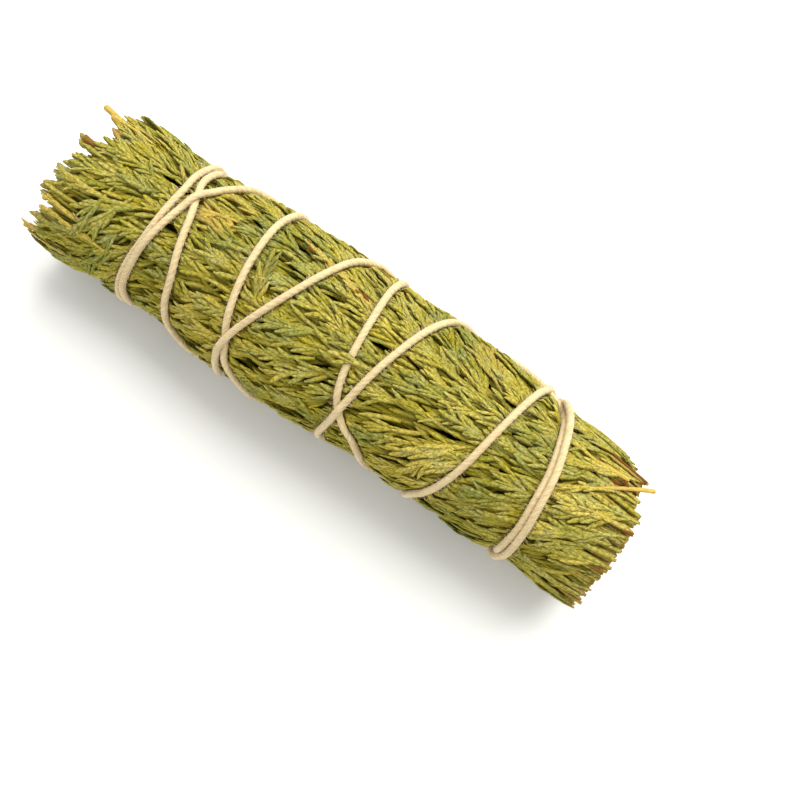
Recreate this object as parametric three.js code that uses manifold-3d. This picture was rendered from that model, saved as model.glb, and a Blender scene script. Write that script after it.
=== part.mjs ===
import * as THREE from 'three';
import { mergeVertices } from 'three/addons/utils/BufferGeometryUtils.js';
import Module from 'manifold-3d';

// A hand-sized bundle of dried cedar sprigs, tied with one cotton string, lying on its side.
// The bundle's axis runs along X, with the leafy tips at -X and the cut stems at +X.
// A place on it is given by x, by an angle round the axis and by a distance from the axis.
// The angle is 0 at the top, 90 on the +Y side and 180 underneath.

// Driving dimensions of the bundle, in millimetres
const TIP_END = -52;
const CUT_END = 51;
const AXIS_HEIGHT = 12.8;
const RADIUS_STATIONS = [
  [-53, 12.9], [-44, 13.1], [-33, 12.6], [-20, 14.0], [-5, 14.4],
  [14, 14.0], [28, 13.5], [38, 13.0], [46, 12.2], [53, 11.0],
];
const GAP = 0.3;

// Driving dimensions of the sprigs: a ring's inside and outside are shares of the bundle's radius
const OUTER = { count: 14, inside: 0.57, outside: 1, crust: 3.3, tips: 5, twigs: 4 };
const INNER = { count: 6, inside: 0.21, outside: 0.545, crust: 0.2, tips: 4, twigs: 4 };
const MIDDLE = {
  radius: 2.3, sides: 6, tips: 4, twigs: 3, tipSpread: [1.1, 1.4, 1.6], twigSpread: [1.0, 1.2],
};
const CORE_ENDS = { tip: -44, cut: 45 };
const CORE_STEPS = 8;
const EDGE_WAVE = { degrees: 2.6, length: 46, phaseStep: 2.4 };
const FRONDS_PER_SPRIG = 8;
const FROND_SHIFT = 0.12;
const FROND_ROOTS = { cut: 44, tip: -38 };
const FROND = {
  length: 13.5, thickness: 0.7, rib: 0.4, stretch: [0.95, 1.08], lean: [0.1, 0.35], settle: [0, 0.2],
};
const FINGER = {
  count: 6, first: 2.3, last: 9.3, along: 4.4, out: 2.35, vary: [0.85, 1.15], taper: [1.05, 0.8],
};
const FROND_RISE = [[0, 4.3], [0.15, 2.2], [0.4, 1.15], [1, 0.35]];
const END_TIP = { radius: 0.6, sides: 3, sunk: 1.5, ragged: 5.5, cover: [0.6, 0.7] };
const TWIG = { thin: 0.5, thick: 0.85, sides: 4, sunk: 1.5, ragged: 1.6, cover: [0.8, 0.9] };
const END_SPREAD = { step: 0.618, jitter: 0.2, sides: [-0.85, 0.85], rootShare: 0.8, rootCover: 0.75 };
const LONG_TWIG = { cell: 1, end: 53 };
const LONG_TIP = { cell: 2, end: -53 };
const PRESS = { full: 2.0, none: 3.8 };
const UNDERSIDE_PRESS = 1.2;
const LAID_FLAT = 0.6;
const SINK_STEP = 0.2;
const SINK_TRIES = 8;

// Driving dimensions of the string
const STRING_RADIUS = 0.625;
const STRING_SIDES = 5;
const STRING_SINK = 0.2;
const FLOOR_CLEARANCE = 0.06;
const STRAND_PITCH = 1.4;
const STEP_DEGREES = 18;
const HUMP = { share: 0.72, width: 1.6, reach: 6, fade: 9.6 };
const KNOT = { x: 36.1, angle: 140, radius: 1.7, height: 0.95, around: 7, rows: 5 };
const TAILS = [{ run: 6.5, turn: 9 }, { run: 5.0, turn: -14 }];

// The string's route, chosen by hand: x in millimetres, then the angle in degrees, which grows
// by 360 with each turn. It starts at the knot, spirals to the leafy end and comes back.
const STRING_ROUTE = [
  [36.0, -217], [36.6, -180], [37.1, -135], [37.3, -90], [37.6, -69], [37.9, -50],
  [37.5, -30], [36.9, -8], [36.0, 12], [34.9, 34], [33.7, 49], [31.9, 57],
  [28.8, 64], [25.4, 70], [22.0, 77], [19.8, 90], [18.6, 120], [17.6, 150],
  [16.8, 180], [15.6, 215], [13.8, 250], [12.4, 275], [10.7, 291], [9.0, 297],
  [7.2, 305], [5.9, 315], [5.0, 329], [4.4, 345], [3.6, 370], [2.9, 393],
  [2.9, 412], [3.4, 432], [3.6, 450], [2.0, 480], [-0.5, 510], [-2.8, 540],
  [-5.0, 570], [-7.0, 600], [-9.0, 625], [-11.4, 638], [-12.8, 648], [-13.5, 662],
  [-14.3, 676], [-15.5, 701], [-16.3, 722], [-16.9, 745], [-17.2, 765], [-16.9, 782],
  [-16.0, 798], [-15.4, 815], [-15.7, 850], [-16.8, 900], [-18.2, 940], [-19.9, 968],
  [-22.2, 986], [-24.2, 998], [-25.0, 1015], [-25.4, 1036], [-26.5, 1055], [-28.0, 1076],
  [-29.8, 1099], [-31.2, 1119], [-31.8, 1140], [-32.5, 1165], [-33.6, 1200], [-34.5, 1240],
  [-35.0, 1290], [-35.1, 1335], [-34.8, 1362], [-33.7, 1388], [-32.8, 1410], [-32.5, 1432],
  [-32.6, 1455], [-32.9, 1480], [-32.6, 1500], [-31.5, 1520], [-30.8, 1545], [-31.0, 1590],
  [-32.0, 1645], [-33.2, 1695], [-33.4, 1722], [-32.6, 1745], [-31.8, 1766], [-30.9, 1784],
  [-29.9, 1800], [-28.5, 1816], [-27.0, 1833], [-25.4, 1852], [-23.8, 1870], [-22.4, 1892],
  [-21.2, 1930], [-19.2, 1975], [-16.6, 2020], [-14.6, 2056], [-14.3, 2080], [-13.8, 2097],
  [-12.6, 2113], [-10.7, 2130], [-8.9, 2146], [-7.3, 2162], [-5.8, 2181], [-4.5, 2201],
  [-3.0, 2216], [-1.2, 2232], [0.4, 2252], [1.9, 2285], [3.0, 2325], [3.9, 2370],
  [4.4, 2405], [4.9, 2431], [5.7, 2446], [6.7, 2463], [7.7, 2484], [8.7, 2504],
  [9.8, 2523], [11.1, 2547], [12.7, 2572], [14.6, 2592], [16.6, 2608], [18.2, 2630],
  [19.3, 2670], [19.9, 2720], [20.6, 2765], [21.9, 2792], [23.4, 2806], [24.9, 2821],
  [26.5, 2843], [27.6, 2869], [28.6, 2897], [29.4, 2920], [30.2, 2940], [31.0, 2965],
  [32.2, 3005], [33.9, 3060], [35.9, 3105], [37.9, 3138], [39.0, 3158], [39.3, 3190],
  [38.9, 3210], [38.2, 3232], [37.3, 3252], [36.3, 3274], [35.2, 3289], [34.0, 3303],
  [33.5, 3325], [34.0, 3348], [35.3, 3366], [36.1, 3377],
];

const wasm = await Module();
wasm.setup();

const radians = (degrees) => THREE.MathUtils.degToRad(degrees);
const mix = (from, to, share) => from + (to - from) * share;
const within = ([low, high], share) => mix(low, high, share);
const WELD = 1e-5;

// Repeatable random numbers, so the bundle is the same each time
function seeded(seed) {
  let state = seed;
  return () => {
    state = (state + 0x6d2b79f5) | 0;
    let bits = Math.imul(state ^ (state >>> 15), 1 | state);
    bits = (bits + Math.imul(bits ^ (bits >>> 7), 61 | bits)) ^ bits;
    return ((bits ^ (bits >>> 14)) >>> 0) / 2 ** 32;
  };
}

// Straight-line reading of a table of [key, value] rows
function readTable(rows, key) {
  const last = rows.length - 1;
  if (key <= rows[0][0]) return rows[0][1];
  if (key >= rows[last][0]) return rows[last][1];
  const next = rows.findIndex((row) => row[0] > key);
  const [k0, v0] = rows[next - 1];
  const [k1, v1] = rows[next];
  return mix(v0, v1, (key - k0) / (k1 - k0));
}

const bundleRadius = (x) => readTable(RADIUS_STATIONS, x);

// The underside is pressed flat where the bundle dried lying down
function pressedFlat(radius, angle, clearance) {
  const down = -Math.cos(radians(angle));
  return down > 0 ? Math.min(radius, (AXIS_HEIGHT - clearance) / down) : radius;
}

function place(x, angle, radius) {
  const turn = radians(angle);
  return new THREE.Vector3(x, radius * Math.sin(turn), AXIS_HEIGHT + radius * Math.cos(turn));
}

// Solids and their joins
function toSolid(geometry) {
  const bare = geometry.clone();
  bare.deleteAttribute('normal');
  bare.deleteAttribute('uv');
  const merged = mergeVertices(bare, WELD);
  return new wasm.Manifold(new wasm.Mesh({
    numProp: 3,
    vertProperties: new Float32Array(merged.attributes.position.array),
    triVerts: new Uint32Array(merged.index.array),
  }));
}

function toGeometry(solid) {
  const mesh = solid.getMesh();
  const geometry = new THREE.BufferGeometry();
  geometry.setAttribute('position', new THREE.BufferAttribute(new Float32Array(mesh.vertProperties), 3));
  geometry.setIndex(new THREE.BufferAttribute(new Uint32Array(mesh.triVerts), 1));
  return geometry;
}

function joined(solids) {
  return solids.reduce((whole, solid) => whole.add(solid));
}

// The outer skin of the largest body: loose scraps and sealed hollows are left behind
function largestBody(solid) {
  const bodies = solid.decompose();
  return bodies.reduce((best, body) => (body.volume() > best.volume() ? body : best));
}

// A rod whose rings follow a path, with a radius at each point; a last radius of 0 ends in a tip
function rod(path, radii, sides) {
  const geometry = new THREE.CylinderGeometry(radii.at(-1) > 0 ? 1 : 0, 1, 1, sides, path.length - 1);
  const position = geometry.attributes.position;
  const along = path.at(-1).clone().sub(path[0]).normalize();
  const across = new THREE.Vector3(0, 1, 0).cross(along).normalize();
  const upward = along.clone().cross(across);
  for (let i = 0; i < position.count; i += 1) {
    const ring = Math.round((position.getY(i) + 0.5) * (path.length - 1));
    const turn = Math.atan2(position.getZ(i), position.getX(i));
    const onAxis = Math.hypot(position.getX(i), position.getZ(i)) < WELD;
    const radius = onAxis ? 0 : radii[ring];
    const point = path[ring].clone();
    point.addScaledVector(across, radius * Math.cos(turn));
    point.addScaledVector(upward, -radius * Math.sin(turn));
    position.setXYZ(i, point.x, point.y, point.z);
  }
  return geometry;
}

// The string's route as evenly turned samples, each lifted or sunk where two strands cross
const SAMPLE_DEGREES = 5;
const SAMPLES_PER_TURN = 360 / SAMPLE_DEGREES;
const POINTS_PER_MARK = 8;

function routeSamples() {
  const curve = new THREE.CatmullRomCurve3(
    STRING_ROUTE.map(([x, angle]) => new THREE.Vector3(x, angle / 10, 0)), false, 'centripetal');
  const fine = curve.getPoints(STRING_ROUTE.length * POINTS_PER_MARK).map((point) => [point.y * 10, point.x]);
  const first = STRING_ROUTE[0][1];
  const count = Math.round((STRING_ROUTE.at(-1)[1] - first) / SAMPLE_DEGREES);
  return Array.from({ length: count + 1 }, (_, i) => {
    const angle = first + i * SAMPLE_DEGREES;
    return { angle, x: readTable(fine, angle), lift: 0 };
  });
}

function findCrossings(samples) {
  const crossings = [];
  for (let turns = SAMPLES_PER_TURN; turns < samples.length; turns += SAMPLES_PER_TURN) {
    for (let i = 0; i + turns + 1 < samples.length; i += 1) {
      const here = samples[i + turns].x - samples[i].x;
      const next = samples[i + turns + 1].x - samples[i + 1].x;
      if (here * next < 0) crossings.push({ lower: i, upper: i + turns });
    }
  }
  return crossings;
}

// The later strand humps over the earlier one, which is pressed in as much as is left
function liftAtCrossings(samples) {
  const reach = Math.ceil(HUMP.fade / (bundleRadius(0) * radians(SAMPLE_DEGREES)));
  for (const { lower, upper } of findCrossings(samples)) {
    for (let k = -reach; k <= reach; k += 1) {
      const under = samples[lower + k];
      const over = samples[upper + k];
      if (!under || !over) continue;
      const apart = (over.x - under.x) / HUMP.width;
      const away = (k * radians(SAMPLE_DEGREES) * bundleRadius(over.x)) / HUMP.reach;
      const spread = STRAND_PITCH * Math.exp(-(apart ** 2) - away ** 4);
      const base = bundleRadius(over.x) - STRING_SINK;
      const room = pressedFlat(base + spread, over.angle, STRING_RADIUS + FLOOR_CLEARANCE) - base;
      const raise = Math.min(spread * HUMP.share, room);
      over.lift += raise;
      under.lift -= spread - raise;
    }
  }
}

function stringPoint(sample) {
  const radius = bundleRadius(sample.x) - STRING_SINK + sample.lift;
  return place(sample.x, sample.angle, pressedFlat(radius, sample.angle, STRING_RADIUS + FLOOR_CLEARANCE));
}

const stringSamples = routeSamples();
liftAtCrossings(stringSamples);
const stringLine = stringSamples.map(stringPoint);

// The two cut tails of the knot lie along the foliage
function tailPoint({ run, turn }, share) {
  const x = KNOT.x + run * share;
  return place(x, KNOT.angle + turn * share, bundleRadius(x) - STRING_SINK);
}

const tailPath = (tail) => [0, 0.5, 1].map((share) => tailPoint(tail, share));
const tailMarks = (tail) => [0, 0.25, 0.5, 0.75, 1].map((share) => tailPoint(tail, share));
const pressMarks = [...stringLine, ...TAILS.flatMap(tailMarks)];

function clearOfString(point, radius) {
  const limit = (STRING_RADIUS + GAP + radius) ** 2;
  return pressMarks.every((mark) => mark.distanceToSquared(point) > limit);
}

// A shoot is kept only where the whole of it stays clear of the string
function rodIsClear(path, radii) {
  for (let i = 0; i + 1 < path.length; i += 1) {
    for (let share = 0; share <= 1; share += 0.2) {
      const point = path[i].clone().lerp(path[i + 1], share);
      if (!clearOfString(point, mix(radii[i], radii[i + 1], share))) return false;
    }
  }
  return true;
}

// The cells of a ring: the edges between neighbours wave along the bundle
function cellEdge(ring, index, x) {
  const phase = EDGE_WAVE.phaseStep * (index % ring.count);
  const wave = Math.sin((2 * Math.PI * x) / EDGE_WAVE.length + phase);
  return (360 / ring.count) * index + EDGE_WAVE.degrees * wave;
}

const cellThickness = (ring, x) => bundleRadius(x) * (ring.outside - ring.inside) - GAP;

// A place in a cell: across runs from -1 to 1 between its edges, depth is below its outer face
function cellAngle(ring, index, x, across, radius, thickness) {
  const low = cellEdge(ring, index, x);
  const high = cellEdge(ring, index + 1, x);
  const margin = THREE.MathUtils.radToDeg((GAP / 2 + thickness) / radius);
  return (low + high) / 2 + THREE.MathUtils.clamp(across, -1, 1) * ((high - low) / 2 - margin);
}

function inCell(ring, index, [x, across, depth], thickness) {
  const fullRadius = bundleRadius(x) * ring.outside - depth;
  const angle = cellAngle(ring, index, x, across, fullRadius, thickness);
  const radius = pressedFlat(bundleRadius(x), angle, -UNDERSIDE_PRESS) * ring.outside - depth;
  return place(x, angle, radius);
}

// The dense middle of a sprig, with four corners a ring, which its shoots stand out of
function cellCore(ring, index) {
  const geometry = new THREE.CylinderGeometry(1, 1, 1, 4, CORE_STEPS);
  const position = geometry.attributes.position;
  for (let i = 0; i < position.count; i += 1) {
    const x = mix(CORE_ENDS.cut, CORE_ENDS.tip, position.getY(i) + 0.5);
    const thickness = cellThickness(ring, x);
    const onAxis = Math.hypot(position.getX(i), position.getZ(i)) < WELD;
    const number = (4 - Math.round(Math.atan2(position.getZ(i), position.getX(i)) / (Math.PI / 2))) % 4;
    const side = onAxis ? 0 : [-1, 1, 1, -1][number];
    const depth = onAxis ? thickness / 2 : [ring.crust, ring.crust, thickness, thickness][number];
    const point = inCell(ring, index, [x, side, depth], 0);
    position.setXYZ(i, point.x, point.y, point.z);
  }
  return toSolid(geometry);
}

// A shoot through marks in its cell
function shoot(ring, index, marks, radii, sides) {
  const path = marks.map((mark, i) => inCell(ring, index, mark, radii[i]));
  return rodIsClear(path, radii) ? [toSolid(rod(path, radii, sides))] : [];
}

// How deep the foliage is pressed where a strand of the string passes over it
function pressedDepth(x, angle, depth) {
  const surface = place(x, angle, bundleRadius(x) - STRING_SINK);
  const axis = place(x, 0, 0);
  return pressMarks.reduce((deepest, mark) => {
    const away = mark.distanceTo(surface);
    if (away > PRESS.none) return deepest;
    const markRadius = Math.hypot(mark.y - axis.y, mark.z - axis.z);
    const needed = bundleRadius(x) - markRadius + STRING_RADIUS + GAP;
    const share = Math.min(1, (PRESS.none - away) / (PRESS.none - PRESS.full));
    return Math.max(deepest, needed * share);
  }, depth);
}

// The outline of a flat frond: a rib with pointed fingers swept forward, left and right in turn
function frondOutline(firstSide, random) {
  const edges = { left: [], right: [] };
  const pitch = (FINGER.last - FINGER.first) / (FINGER.count - 1);
  for (let number = 0; number < FINGER.count; number += 1) {
    const start = FINGER.first + number * pitch;
    const side = (number + firstSide) % 2 ? 1 : -1;
    const reach = within(FINGER.vary, random()) * within(FINGER.taper, number / FINGER.count);
    const edge = side > 0 ? edges.right : edges.left;
    edge.push([start, side * FROND.rib]);
    edge.push([start + FINGER.along * reach, side * (FROND.rib + FINGER.out * reach)]);
  }
  const last = FINGER.last + pitch;
  const points = [[0, FROND.rib], ...edges.right, [last, FROND.rib], [FROND.length, 0],
    [last, -FROND.rib], ...edges.left.reverse(), [0, -FROND.rib]];
  return new THREE.Shape(points.map(([along, out]) => new THREE.Vector2(along, out)));
}

// A frond lies along its cell: its root is sunk in the core and its fingers reach the surface.
// On the underside it lies flat on the surface that the bundle rests on.
function frond(ring, index, rootX, side, random) {
  const stretch = within(FROND.stretch, random());
  const lean = side * within(FROND.lean, random());
  const settle = within(FROND.settle, random());
  const outline = frondOutline(side > 0 ? 0 : 1, random);
  const flat = new THREE.ExtrudeGeometry(outline, { depth: FROND.thickness, bevelEnabled: false, steps: 1 });
  for (let attempt = 0; attempt < SINK_TRIES; attempt += 1) {
    const geometry = flat.clone();
    const position = geometry.attributes.position;
    for (let i = 0; i < position.count; i += 1) {
      const along = position.getX(i);
      const x = rootX - along * stretch;
      const rise = readTable(FROND_RISE, along / FROND.length) + settle;
      const halfWidth = (Math.PI * bundleRadius(x)) / ring.count;
      const across = lean * Math.min(1, along / FINGER.first) + position.getY(i) / halfWidth;
      const angle = cellAngle(ring, index, x, across, bundleRadius(x) - rise, 0);
      const depth = pressedDepth(x, angle, rise) + attempt * SINK_STEP + position.getZ(i);
      const point = inCell(ring, index, [x, across, depth], 0);
      const lies = point.z - position.getZ(i) < LAID_FLAT;
      position.setXYZ(i, point.x, point.y, lies ? position.getZ(i) : point.z);
    }
    if (sheetIsClear(geometry)) return [toSolid(geometry)];
  }
  return [];
}

function sheetIsClear(geometry) {
  const position = geometry.attributes.position;
  for (let first = 0; first < position.count; first += 3) {
    const corners = [0, 1, 2].map((k) => new THREE.Vector3().fromBufferAttribute(position, first + k));
    for (let k = 0; k < 3; k += 1) {
      for (let share = 0; share < 1; share += 0.25) {
        const point = corners[k].clone().lerp(corners[(k + 1) % 3], share);
        if (!clearOfString(point, 0)) return false;
      }
    }
  }
  return true;
}

function frondsOf(ring, index, random) {
  const solids = [];
  for (let number = 0; number < FRONDS_PER_SPRIG; number += 1) {
    const share = (number + mix(-FROND_SHIFT, FROND_SHIFT, random())) / (FRONDS_PER_SPRIG - 1);
    const rootX = mix(FROND_ROOTS.cut, FROND_ROOTS.tip, THREE.MathUtils.clamp(share, 0, 1));
    solids.push(...frond(ring, index, rootX, number % 2 ? 1 : -1, random));
  }
  return solids;
}

// Where an end shoot stands in its cell, spread by the golden ratio so that no two stand close
function endAcross(number, random) {
  return within(END_SPREAD.sides, (number * END_SPREAD.step + random() * END_SPREAD.jitter) % 1);
}

function endDepth(ring, x, { cover: [outer, inner] }, share) {
  return mix(outer, cellThickness(ring, x) - inner, share);
}

const rootMark = (ring, x, across, depth) => [
  x, across * END_SPREAD.rootShare, Math.max(depth, ring.crust + END_SPREAD.rootCover)];

// The leafy tips at one end, and the cut stems at the other
function endsOf(ring, index, random) {
  const solids = [];
  for (let number = 0; number < ring.tips; number += 1) {
    const across = endAcross(number, random);
    const depth = endDepth(ring, TIP_END, END_TIP, (number + random()) / ring.tips);
    const long = ring === OUTER && index === LONG_TIP.cell && number === 0;
    const end = long ? LONG_TIP.end : TIP_END + END_TIP.ragged * random();
    solids.push(...shoot(ring, index, [
      rootMark(ring, CORE_ENDS.tip + END_TIP.sunk, across, depth),
      [mix(CORE_ENDS.tip, end, 0.5), across, depth],
      [end, across, depth],
    ], [END_TIP.radius, END_TIP.radius, 0], END_TIP.sides));
  }
  for (let number = 0; number < ring.twigs; number += 1) {
    const across = endAcross(number, random);
    const depth = endDepth(ring, CUT_END, TWIG, (number + random()) / ring.twigs);
    const long = ring === OUTER && index === LONG_TWIG.cell && number === 0;
    const end = long ? LONG_TWIG.end : CUT_END - TWIG.ragged * random();
    const radius = mix(TWIG.thin, TWIG.thick, random() ** 2);
    solids.push(...shoot(ring, index, [
      rootMark(ring, CORE_ENDS.cut - TWIG.sunk, across, depth),
      [end, across, depth],
    ], [radius, radius], TWIG.sides));
  }
  return solids;
}

// What would stand below the surface that the bundle lies on is pressed off flat
function trimUnderside(solid) {
  const size = 2 * (CUT_END - TIP_END);
  const block = new THREE.BoxGeometry(size, size, size);
  block.translate(0, 0, -size / 2);
  return solid.boundingBox().min[2] < 0 ? solid.subtract(toSolid(block)) : solid;
}

function sprig(ring, index, seed) {
  const random = seeded(seed);
  const solids = [cellCore(ring, index), ...endsOf(ring, index, random)];
  if (ring === OUTER) solids.push(...frondsOf(ring, index, random));
  return largestBody(trimUnderside(joined(solids)));
}

function middleSprig(seed) {
  const random = seeded(seed);
  const ends = [CORE_ENDS.cut, CORE_ENDS.tip].map((x) => place(x, 0, 0));
  const solids = [toSolid(rod(ends, [MIDDLE.radius, MIDDLE.radius], MIDDLE.sides))];
  for (let number = 0; number < MIDDLE.tips; number += 1) {
    const angle = (360 / MIDDLE.tips) * number;
    const end = TIP_END + END_TIP.ragged * random();
    const marks = [CORE_ENDS.tip + END_TIP.sunk, mix(CORE_ENDS.tip, end, 0.5), end];
    const path = marks.map((x, i) => place(x, angle, MIDDLE.tipSpread[i]));
    solids.push(toSolid(rod(path, [END_TIP.radius, END_TIP.radius, 0], END_TIP.sides)));
  }
  for (let number = 0; number < MIDDLE.twigs; number += 1) {
    const angle = (360 / MIDDLE.twigs) * number;
    const marks = [CORE_ENDS.cut - TWIG.sunk, CUT_END - TWIG.ragged * random()];
    const path = marks.map((x, i) => place(x, angle, MIDDLE.twigSpread[i]));
    solids.push(toSolid(rod(path, [TWIG.thick, TWIG.thick], TWIG.sides)));
  }
  return largestBody(joined(solids));
}

// The string: one tube along its whole route, and the knot that both of its ends run into
function stringSolid() {
  const circle = new THREE.EllipseCurve(0, 0, STRING_RADIUS, STRING_RADIUS);
  const section = new THREE.Shape(circle.getPoints(STRING_SIDES).slice(0, -1));
  const tube = new THREE.ExtrudeGeometry(section, {
    steps: Math.round((stringLine.length * SAMPLE_DEGREES) / STEP_DEGREES),
    extrudePath: new THREE.CatmullRomCurve3(stringLine, false, 'centripetal'),
  });
  const knot = new THREE.SphereGeometry(1, KNOT.around, KNOT.rows);
  knot.scale(KNOT.radius, KNOT.radius, KNOT.height);
  knot.rotateX(-radians(KNOT.angle));
  const centre = place(KNOT.x, KNOT.angle, bundleRadius(KNOT.x));
  knot.translate(centre.x, centre.y, centre.z);
  const tails = TAILS.map(tailPath).map((path) => rod(path, path.map(() => STRING_RADIUS), STRING_SIDES));
  return largestBody(joined([tube, knot, ...tails].map(toSolid)));
}

// The scene graph
function material(color, roughness) {
  return new THREE.MeshStandardMaterial({ color, roughness, metalness: 0 });
}

const OLIVE = material(0x9a9648, 0.85);
const GREY_GREEN = material(0x7f8858, 0.88);
const GOLDEN = material(0xb5a750, 0.85);
const COTTON = material(0xf0e0b8, 0.9);
const FOLIAGE = [OLIVE, GREY_GREEN, OLIVE, GOLDEN];

const stick = new THREE.Group();

function addPiece(name, solid, surface) {
  const mesh = new THREE.Mesh(toGeometry(solid), surface);
  mesh.name = name;
  stick.add(mesh);
}

addPiece('string', stringSolid(), COTTON);
for (let index = 0; index < OUTER.count; index += 1) {
  const name = `sprig_outer_${String(index + 1).padStart(2, '0')}`;
  addPiece(name, sprig(OUTER, index, 100 + index), FOLIAGE[index % FOLIAGE.length]);
}
for (let index = 0; index < INNER.count; index += 1) {
  addPiece(`sprig_inner_${index + 1}`, sprig(INNER, index, 200 + index), FOLIAGE[(index + 1) % 3]);
}
addPiece('sprig_middle', middleSprig(300), OLIVE);

export default stick;
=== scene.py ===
# %% [markdown]
# # A cedar smudge stick
# A smudge stick is a bundle of dried cedar sprigs, tied round and round with one cotton string.
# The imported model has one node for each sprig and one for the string. This lesson gives each node
# a finely made piece of its own: sprays of scale-leaved shoots, cut woody stems, and a twisted,
# slightly fuzzy string. Sizes are in millimetres until a mesh is made, because that is how a
# maker would measure such a thing.

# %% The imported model
import math
import random

import bpy
import numpy as np
from mathutils import Matrix, Vector


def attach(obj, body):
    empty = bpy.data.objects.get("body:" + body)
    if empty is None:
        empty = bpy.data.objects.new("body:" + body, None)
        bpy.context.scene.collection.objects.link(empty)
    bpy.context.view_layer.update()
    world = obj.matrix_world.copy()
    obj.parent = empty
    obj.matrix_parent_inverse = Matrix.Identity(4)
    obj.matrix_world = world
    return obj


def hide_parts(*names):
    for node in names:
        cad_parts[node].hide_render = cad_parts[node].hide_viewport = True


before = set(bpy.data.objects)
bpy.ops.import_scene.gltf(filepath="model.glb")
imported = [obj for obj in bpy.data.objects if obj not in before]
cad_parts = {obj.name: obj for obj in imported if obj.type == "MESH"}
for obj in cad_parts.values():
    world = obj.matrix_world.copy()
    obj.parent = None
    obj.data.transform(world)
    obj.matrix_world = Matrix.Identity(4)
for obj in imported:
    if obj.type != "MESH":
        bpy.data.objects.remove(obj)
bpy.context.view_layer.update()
MM = 0.001
print("packed nodes:", len(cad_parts))

# %% [markdown]
# ## Where things are on the bundle
# A bundle is easiest to describe like a map wrapped round a roll: x along the axis, an angle round
# it, and how deep below the surface a thing lies. The angle is 0 on top, 90 on the far side and 180
# underneath. Short functions turn such a place into a point. The underside is a little flat,
# because the bundle dried lying down, and the two ends aren't flat: the tips reach further on the
# near side, and the knife left the far side of the cut end shorter. A few swells and dents, listed
# with their places, make it a bundle tied by hand.

# %% The bundle's own map
AXIS_HEIGHT = 12.8
RADIUS_STATIONS = np.array([
    [-53, 13.3], [-44, 13.3], [-33, 12.6], [-20, 14.0], [-5, 14.4],
    [14, 14.0], [28, 13.5], [38, 13.0], [46, 12.2], [53, 11.0],
])
SWELLS = [
    # x, angle, reach along x, reach round the bundle in degrees, height
    (-48.0, -105, 7.0, 38, 1.0), (-36.0, -105, 4.0, 38, 0.7), (10.0, -105, 9.0, 38, -1.4),
    (25.0, -105, 6.0, 38, -0.7), (38.0, -105, 4.5, 38, -0.9), (51.5, -100, 6.0, 40, 1.4),
    (46.0, 70, 6.0, 28, -0.6), (35.0, 66, 4.5, 28, -0.8),
]
TIP_LINE = np.array([
    [-180, -51.5], [-103, -52.8], [-84, -53.4], [-74, -52.4], [-62, -49.4], [-55, -49.8],
    [-45, -51.6], [-28, -50.8], [-14, -50.5], [0, -49.8], [8, -49.0], [15, -47.2], [20, -46.8],
    [27, -48.6], [38, -49.6], [50, -50.2], [70, -50.4], [110, -51.5], [180, -51.5],
])
CUT_LINE = np.array([
    [-180, 51.4], [-103, 51.6], [-60, 51.3], [-30, 51.9], [-8, 51.6], [8, 51.2], [17, 50.0],
    [26, 49.2], [38, 49.8], [47, 50.0], [54, 48.2], [62, 46.4], [74, 45.2], [90, 46.4],
    [130, 50.0], [180, 51.4],
])


def bundle_radius(x):
    return np.interp(x, RADIUS_STATIONS[:, 0], RADIUS_STATIONS[:, 1])


def half_turn(angle):
    """The same angle, written from -180 to 180."""
    return (angle + 180) % 360 - 180


def line_at(line, angle):
    """What a list of rows of (angle, value) gives at an angle."""
    return np.interp(half_turn(angle), line[:, 0], line[:, 1])


def skin_radius(x, angle):
    """The radius of the surface at a place: the bundle's own, with its swells and dents."""
    radius = bundle_radius(x)
    for at_x, at_angle, reach, turn_reach, height in SWELLS:
        turn = half_turn(angle - at_angle)
        radius = radius + height * np.exp(-((x - at_x) / reach) ** 2 - (turn / turn_reach) ** 2)
    return radius


def pressed_flat(radius, angle, clearance):
    """A radius cut back where it would come nearer to the floor than the clearance."""
    down = np.maximum(-np.cos(np.radians(angle)), 1e-6)
    return np.minimum(radius, (AXIS_HEIGHT - clearance) / down)


def place(x, angle, radius):
    turn = np.radians(angle)
    x, y, z = np.broadcast_arrays(x, radius * np.sin(turn), AXIS_HEIGHT + radius * np.cos(turn))
    return np.stack([x, y, z], axis=-1)


print("top of the bundle at the middle:", place(0.0, 0.0, bundle_radius(0.0)).round(1))

# %% [markdown]
# ## The camera
# The camera comes early, so that every later step can be looked at from the same side. It looks
# down steeply, from a little towards the near side and the cut end, and it is rolled so that the
# bundle runs from the upper left to the lower right. A camera's matrix holds its right, up and
# backward directions as columns, so the roll is made by turning the first two about the third.

# %% The camera
LENS = 45.0
SENSOR = 36.0
CAMERA_DISTANCE = 158.0
CAMERA_BACK = Vector((0.139, -0.300, 0.9438)).normalized()
CAMERA_ROLL = math.radians(37.13)
FRAME_OFFSET = (-9.0, 7.8)

level_up = (Vector((0, 1, 0)) - CAMERA_BACK * CAMERA_BACK.y).normalized()
level_right = level_up.cross(CAMERA_BACK)
camera_right = level_right * math.cos(CAMERA_ROLL) + level_up * math.sin(CAMERA_ROLL)
camera_up = level_up * math.cos(CAMERA_ROLL) - level_right * math.sin(CAMERA_ROLL)
eye = Vector((0, 0, AXIS_HEIGHT)) + CAMERA_BACK * CAMERA_DISTANCE
eye -= camera_right * FRAME_OFFSET[0] + camera_up * FRAME_OFFSET[1]

bpy.ops.object.select_all(action="DESELECT")
bpy.ops.object.camera_add()
camera = bpy.context.object
camera.name = "camera"
camera.data.lens = LENS
camera.data.sensor_width = SENSOR
camera.data.clip_start = 0.01
turned = Matrix((camera_right, camera_up, CAMERA_BACK)).transposed()
camera.matrix_world = Matrix.Translation(eye * MM) @ turned.to_4x4()
bpy.context.scene.camera = camera
print("camera at", [round(v, 1) for v in eye], "mm")

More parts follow.
